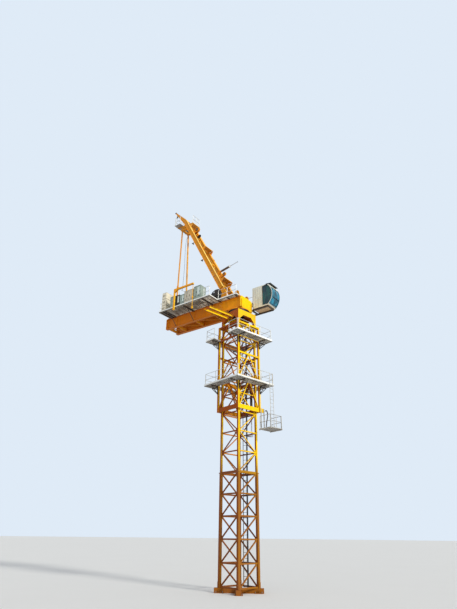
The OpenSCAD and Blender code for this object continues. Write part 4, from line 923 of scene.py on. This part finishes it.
def ballast_hoops():
    """Hoops on the rear and outer faces of both ballast stacks, one row to each block."""
    hoops = Shape("dark")
    for y0, y1, out in ((-2.47, -1.22, -1), (0.94, 1.76, 1)):
        wide = y1 - y0 > 1
        for i in range(3):
            z = FLOOR_Z + (i + 0.52) * BLOCK_H
            for y in (y0 + 0.28, y1 - 0.28) if wide else ((y0 + y1) / 2,):
                hoop(hoops, (REAR + 0.655, y, z), (0, 1, 0), (-1, 0, 0), 0.055, 0.07)
            hoop(hoops, (REAR + 0.94, y0 if out < 0 else y1, z), (1, 0, 0), (0, out, 0), 0.06, 0.06)
    hoops.make("ballast_hoops", "upper_works")


def deck_cables():
    """A cable from the back of each cabinet, side by side over the deck to the winches."""
    wires = Shape("rubber")
    low = FLOOR_Z + 0.022
    for k, (x, length, depth) in enumerate(c[:3] for c in CABINETS):
        back, px, lane = CABINET_Y + depth, x + length * 0.5, -1.25 + k * 0.035
        route = [(px, back - 0.012, FLOOR_Z + 0.3), (px, back + 0.06, FLOOR_Z + 0.24),
                 (px, back + 0.09, FLOOR_Z + 0.05), (px + 0.1, lane - 0.07, low), (px + 0.5, lane, low),
                 (-2.1, lane, low)]
        wires.tube(curve_points(route, 6), 0.018)
    wires.make("deck_cables", "upper_works")


# Winches

DRUM_HALF = 0.5


def wound_rope(name, body, winch, barrel):
    """Rope wound side by side on a drum, in two layers that run to and fro."""
    x, z = winch[:2]
    r, pitch, steps = 0.013, 0.028, 28
    turns = int((2 * DRUM_HALF - 0.12) / pitch)
    path = []
    for layer, way in ((0, 1), (1, -1)):
        rad = barrel + r + layer * 0.024
        for i in range(turns * steps + 1):
            a = 2 * pi * i / steps
            y = (-0.5 + i / (turns * steps)) * turns * pitch * way
            path.append((x + rad * cos(a), y, z + rad * sin(a)))
    rope = Shape("rope")
    rope.tube(path, r, 5)
    rope.make(name, body)


def winch_fittings():
    """On each winch: the motor's fins, terminal box and cable, the gearbox's nuts and the bearing's cap."""
    drives = Shape("dark")
    y, cheek = 0.674, 0.58
    fin = [(0, 0.146), (0, 0.165), (0.010, 0.165), (0.010, 0.146)]
    cap = [(0, 0.105), (0.03, 0.105), (0.05, 0.085), (0.07, 0.03)]
    for x, z, r in (HOIST_WINCH, LUFFING_WINCH):
        drives.at = Matrix.Translation((x, 0, z))
        mx, mz, floor = -r - 0.42, -r * 0.21, FLOOR_Z - z
        drives.use("dark")
        for k in range(12):
            px = mx + 0.04 + k * 0.026
            drives.lathe((px, y + 0.001, mz), (px + 0.01, y + 0.001, mz), fin, 20)
        drives.use("green")
        drives.box((mx + 0.10, y - 0.09, mz + 0.143), (mx + 0.28, y + 0.09, mz + 0.235), 0.012)
        drives.use("bolt")
        nuts_r = r * 0.42 - 0.03
        for a in angles(16):
            drives.nut((nuts_r * cos(a), cheek + 0.189, nuts_r * sin(a)), (0, 1, 0), 0.014, 0.016)
        drives.use("dark")
        drives.lathe((0, -cheek, 0), (0, -cheek - 0.07, 0), cap, 20)
        drives.use("bolt")
        for a in angles(6):
            drives.nut((0.09 * cos(a), -cheek, 0.09 * sin(a)), (0, -1, 0), 0.010, 0.036)
        drives.use("rubber")
        route = [(mx + 0.19, y + 0.08, mz + 0.19), (mx + 0.19, y + 0.16, mz + 0.17),
                 (mx + 0.17, y + 0.19, mz - 0.1), (mx + 0.15, y + 0.19, floor + 0.15),
                 (mx, y + 0.12, floor + 0.03), (mx - 0.2, y - 0.1, floor + 0.026)]
        drives.tube(curve_points(route, 6), 0.016)
    drives.make("winch_fittings", "upper_works")


# A-frame, drawn in the legs' own frame: x ahead of them, z along them from the foot pins

LEGS_AT = Matrix.Translation((FOOT_X, 0, PIN_Z)) @ Matrix.Rotation(-LEAN, 4, "Y")


def leg_y(s):
    """The middle of a leg at a place along it: the legs close in towards the apex pins."""
    foot_y, apex_y, apex_s = 0.755, 0.59, 12.318
    return foot_y - s * (foot_y - apex_y) / apex_s


def leg_sides(legs, m):
    """Rungs, splice bolts and small ears on the outer face of one leg."""
    for k in range(20):
        s = 0.95 + 0.55 * k
        y = m * (leg_y(s) + 0.159)
        y0, y1 = sorted((y, y + m * 0.014))
        legs.use("amber")
        legs.box((-0.205, y0, s), (0.205, y1, s + 0.02))
    legs.use("bolt")
    for s in (2.55, 3.45, 11.02, 7.2):
        for v in (-0.16, -0.05, 0.05, 0.16):
            for ds in (-0.07, 0.07):
                legs.nut((v, m * (leg_y(s) + 0.159), s + ds), (0, m, 0), 0.02, 0.022)
    legs.use("amber")
    for s in (3.9, 5.9, 8.4, 10.4):
        ear = [(LEG_HALF, s), (0.33, s + 0.06), (0.33, s + 0.20), (LEG_HALF, s + 0.34)]
        legs.plate(ear, m * (leg_y(s) - 0.02) + 0.01, 0.02)


def leg_lamp(legs, s):
    """A floodlight on a stub behind the right leg."""
    y = -leg_y(s) - 0.05
    legs.use("amber")
    legs.box((-0.37, y - 0.02, s - 0.03), (-0.2305, y + 0.02, s + 0.03))
    legs.use("dark")
    legs.lathe((-0.37, y, s), (-0.53, y, s - 0.05), [(0, 0.04), (0.05, 0.08), (0.13, 0.13), (0.17, 0.13)], 14)
    legs.use("white")
    legs.lathe((-0.523, y, s - 0.05), (-0.545, y, s - 0.057), [(0, 0.12), (0.015, 0.11), (0.02, 0.04)], 14)


def leg_tip(legs, m):
    """The pulley on a leg's tip, with the shackle and block that hang from it."""
    y = m * (leg_y(15.3) - 0.002)
    pulley = [(0, 0.05), (0.01, 0.085), (0.06, 0.10), (0.10, 0.10), (0.13, 0.07),
              (0.25, 0.07), (0.28, 0.10), (0.32, 0.10), (0.37, 0.085), (0.38, 0.05)]
    legs.use("dark")
    legs.lathe((-0.53, y - 0.19, 15.36), (-0.53, y + 0.19, 15.36), pulley, 14)
    shackle = [(-0.56 + 0.055 * sin(a), y, 14.93 + 0.10 * cos(a)) for a in angles(12)]
    legs.tube(shackle, 0.022, closed=True)
    block = [(0, 0.03), (0.03, 0.075), (0.2, 0.085), (0.25, 0.04)]
    legs.lathe((-0.60, y, 14.86), (-0.74, y, 14.64), block, 12)


def sheave_rings(legs, v, s, r, half):
    """A ring and a hub on both cheeks of a sheave block."""
    ring = [(0, r * 0.62), (0.008, r * 0.62), (0.012, r * 0.56)]
    hub = [(0, r * 0.26), (0.03, r * 0.26), (0.035, r * 0.2)]
    for m in (-1, 1):
        legs.use("dark")
        legs.lathe((v, m * half, s), (v, m * (half + 0.012), s), ring, 20)
        legs.use("bolt")
        legs.lathe((v, m * half, s), (v, m * (half + 0.035), s), hub, 12)


def leg_fittings():
    """All that is fixed to the A-frame's legs, and two hoses along the right one."""
    legs = Shape("amber")
    legs.at = LEGS_AT
    for m in (-1, 1):
        leg_sides(legs, m)
    for s in (9.0, 5.85):
        leg_lamp(legs, s)
    for m in (-1, 1):
        leg_tip(legs, m)
    for block in ((0.56, 11.02, 0.30, 0.142), (0.72, 2.71, 0.20, 0.103)):
        sheave_rings(legs, *block)
    legs.use("rubber")
    for inward in (0.12, 0.155):
        path = [(LEG_HALF + 0.012, inward - leg_y(s), s) for s in (0.8 + 0.6 * i for i in range(17))]
        legs.tube(path, 0.011, 5)
    legs.make("leg_fittings", "upper_works")


def on_tie(m, share, inward):
    """A point beside one of the rear ties, a share of the way up it."""
    low, high = Vector((TIE_X, m * GIRDER_Y, 24.455)), Vector((-7.7, m * 0.52, 35.705))
    return low.lerp(high, share) - Vector((0, m * inward, 0))


def tie_stays():
    """Thin stays between the rear ties, and the cable that hangs from the top platform to them."""
    lines = Shape("rail")
    for m in (-1, 1):
        lines.tube([on_tie(m, 0.30, 0.085), on_tie(-m, 0.055, 0.09)], 0.014)
    lines.tube([on_tie(-1, 0.302, 0.085), on_tie(1, 0.302, 0.085)], 0.016)
    lines.use("rubber")
    route = [(-7.7, 0.41, 35.3), (-7.68, 0.22, 34.6), (-7.66, 0.12, 33.2), (-7.66, 0.16, 31.0),
             (-7.64, 0.08, 29.0), (-7.64, 0.02, 27.9), (-7.64, -0.05, 27.83)]
    lines.tube(curve_points(route, 6), 0.014)
    lines.make("tie_stays", "upper_works")


# Slip ring, davit and landing pipe

def slip_ring():
    """The power supply's slip ring in the middle of the ring, on a bar across the tub."""
    middle = Shape("dark")
    drum = [(0, 0.12), (0.02, 0.15), (0.5, 0.15), (0.52, 0.11), (0.9, 0.11), (0.92, 0.2), (1.0, 0.2),
            (1.02, 0.1), (1.17, 0.1)]
    middle.lathe((0, 0, 21.9), (0, 0, 23.3), drum, 24)
    middle.box((-0.575, -0.05, 22.95), (0.575, 0.05, 23.04))
    middle.make("slip_ring", "upper_works")


def davit_hook():
    """The rope wheel at the end of the davit's arm, and the hook below."""
    hoist = Shape("dark")
    x, y = REAR + 5.04, -2.67
    wheel = [(0, 0.05), (0.02, 0.07), (0.08, 0.07), (0.10, 0.05)]
    hoist.lathe((x, y - 0.05, 26.08), (x, y + 0.05, 26.08), wheel, 14)
    bend = [radians(-15 + 24 * k) for k in range(12)]
    hoist.tube([(x + 0.045 * sin(a), y, 23.345 + 0.045 * cos(a)) for a in bend], 0.012)
    hoist.make("davit_hook", "upper_works")


def landing_pipe():
    """The bent pipe from the cage's lowest beam down to the landing."""
    pipe = Shape("frame")
    pipe.at = MAST_TURN
    x = CAGE_HALF + 0.21
    route = [(x - 0.004, 1.75, 13.48), (x + 0.16, 1.78, 13.46), (x + 0.42, 1.6, 13.0),
             (x + 0.62, 1.25, 12.35), (x + 0.70, 1.10, 11.93)]
    pipe.tube(curve_points(route), 0.045, 8)
    pipe.make("landing_pipe", "cage")


deck_floor()
cage_floors()
mast_bolts()
girder_bolts()
cab_trim()
cab_fittings()
cab_outside()
cabinet_fittings()
ballast_hoops()
deck_cables()
wound_rope("hoist_rope", "hoist_drum", HOIST_WINCH, 0.465)
wound_rope("luffing_rope", "luffing_drum", LUFFING_WINCH, 0.372)
winch_fittings()
leg_fittings()
tie_stays()
slip_ring()
davit_hook()
landing_pipe()


# Stage, light and camera

def stage_material(name, colour):
    g = Graph(name)
    col = g.mix(g.span(g.noise(0.15, 3), 0.3, 0.7), colour, [c * 0.985 for c in colour])
    return g.finish(col, 0.9)


def pale_floor():
    """A pale round floor that reaches far beyond the crane."""
    radius = 1350.0
    mesh = bpy.data.meshes.new("floor")
    rim = [(radius * cos(a), radius * sin(a), 0) for a in angles(96)]
    mesh.from_pydata(rim, [], [tuple(range(len(rim)))])
    mesh.materials.append(stage_material("floor", (0.80, 0.81, 0.82)))
    floor = bpy.data.objects.new("floor", mesh)
    bpy.context.scene.collection.objects.link(floor)


def studio_world():
    """A soft even fill, and a pale blue where the world itself is seen, mirrored or looked through."""
    world = bpy.data.worlds.new("studio")
    bpy.context.scene.world = world
    world.use_nodes = True
    tree = world.node_tree
    tree.nodes.clear()

    def node(kind):
        return tree.nodes.new("ShaderNode" + kind)

    def background(colour, strength):
        n = node("Background")
        n.inputs["Color"].default_value = (*colour, 1)
        n.inputs["Strength"].default_value = strength
        return n.outputs[0]

    def either(a, b):
        n = node("Math")
        n.operation = "MAXIMUM"
        tree.links.new(a, n.inputs[0])
        tree.links.new(b, n.inputs[1])
        return n.outputs[0]

    ray = node("LightPath").outputs
    seen = either(either(ray["Is Camera Ray"], ray["Is Glossy Ray"]), ray["Is Transmission Ray"])
    mix = node("MixShader")
    fill, sky = background((0.93, 0.96, 1.0), 0.46), background((0.74, 0.83, 0.93), 1.0)
    for k, source in enumerate((seen, fill, sky)):
        tree.links.new(source, mix.inputs[k])
    tree.links.new(mix.outputs[0], node("OutputWorld").inputs[0])


def sun_lamp(name, direction, strength, angle, colour):
    lamp = bpy.data.lights.new(name, "SUN")
    lamp.energy, lamp.angle, lamp.color = strength, radians(angle), colour
    o = bpy.data.objects.new(name, lamp)
    o.rotation_mode = "QUATERNION"
    o.rotation_quaternion = Vector(direction).to_track_quat("Z", "Y")
    bpy.context.scene.collection.objects.link(o)


# The camera was fitted to the photograph: its focal length in pixels, and the picture's height
EYE = Vector((22.75, -32.28, 3.69))
HEADING = Vector((-0.5966, 0.8025, 0)).normalized()
PITCH, ROLL = radians(27.04), radians(0.62)
FOCAL_PX, PICTURE_H_PX = 455.1, 609
SENSOR_MM = 36.0


def photo_camera():
    """Stands where the photographer stood and looks up at the crane."""
    look = HEADING * cos(PITCH) + Vector((0, 0, sin(PITCH)))
    right = HEADING.cross(Vector(UP)).normalized()
    up = right.cross(look)
    right, up = right * cos(ROLL) + up * sin(ROLL), up * cos(ROLL) - right * sin(ROLL)
    data = bpy.data.cameras.new("camera")
    data.sensor_width = SENSOR_MM
    data.lens = SENSOR_MM * FOCAL_PX / PICTURE_H_PX
    data.clip_end = 1500
    camera = bpy.data.objects.new("camera", data)
    rows = [(right[i], up[i], -look[i], EYE[i]) for i in range(3)]
    camera.matrix_world = Matrix((*rows, (0, 0, 0, 1)))
    bpy.context.scene.collection.objects.link(camera)
    bpy.context.scene.camera = camera


pale_floor()
studio_world()
sun_lamp("key", SUN, 2.5, 9, (1.0, 0.96, 0.86))
sun_lamp("fill", (0.3, -0.9, 0.25), 0.42, 50, (0.98, 0.97, 0.95))
photo_camera()
bpy.context.scene.view_settings.view_transform = "Standard"
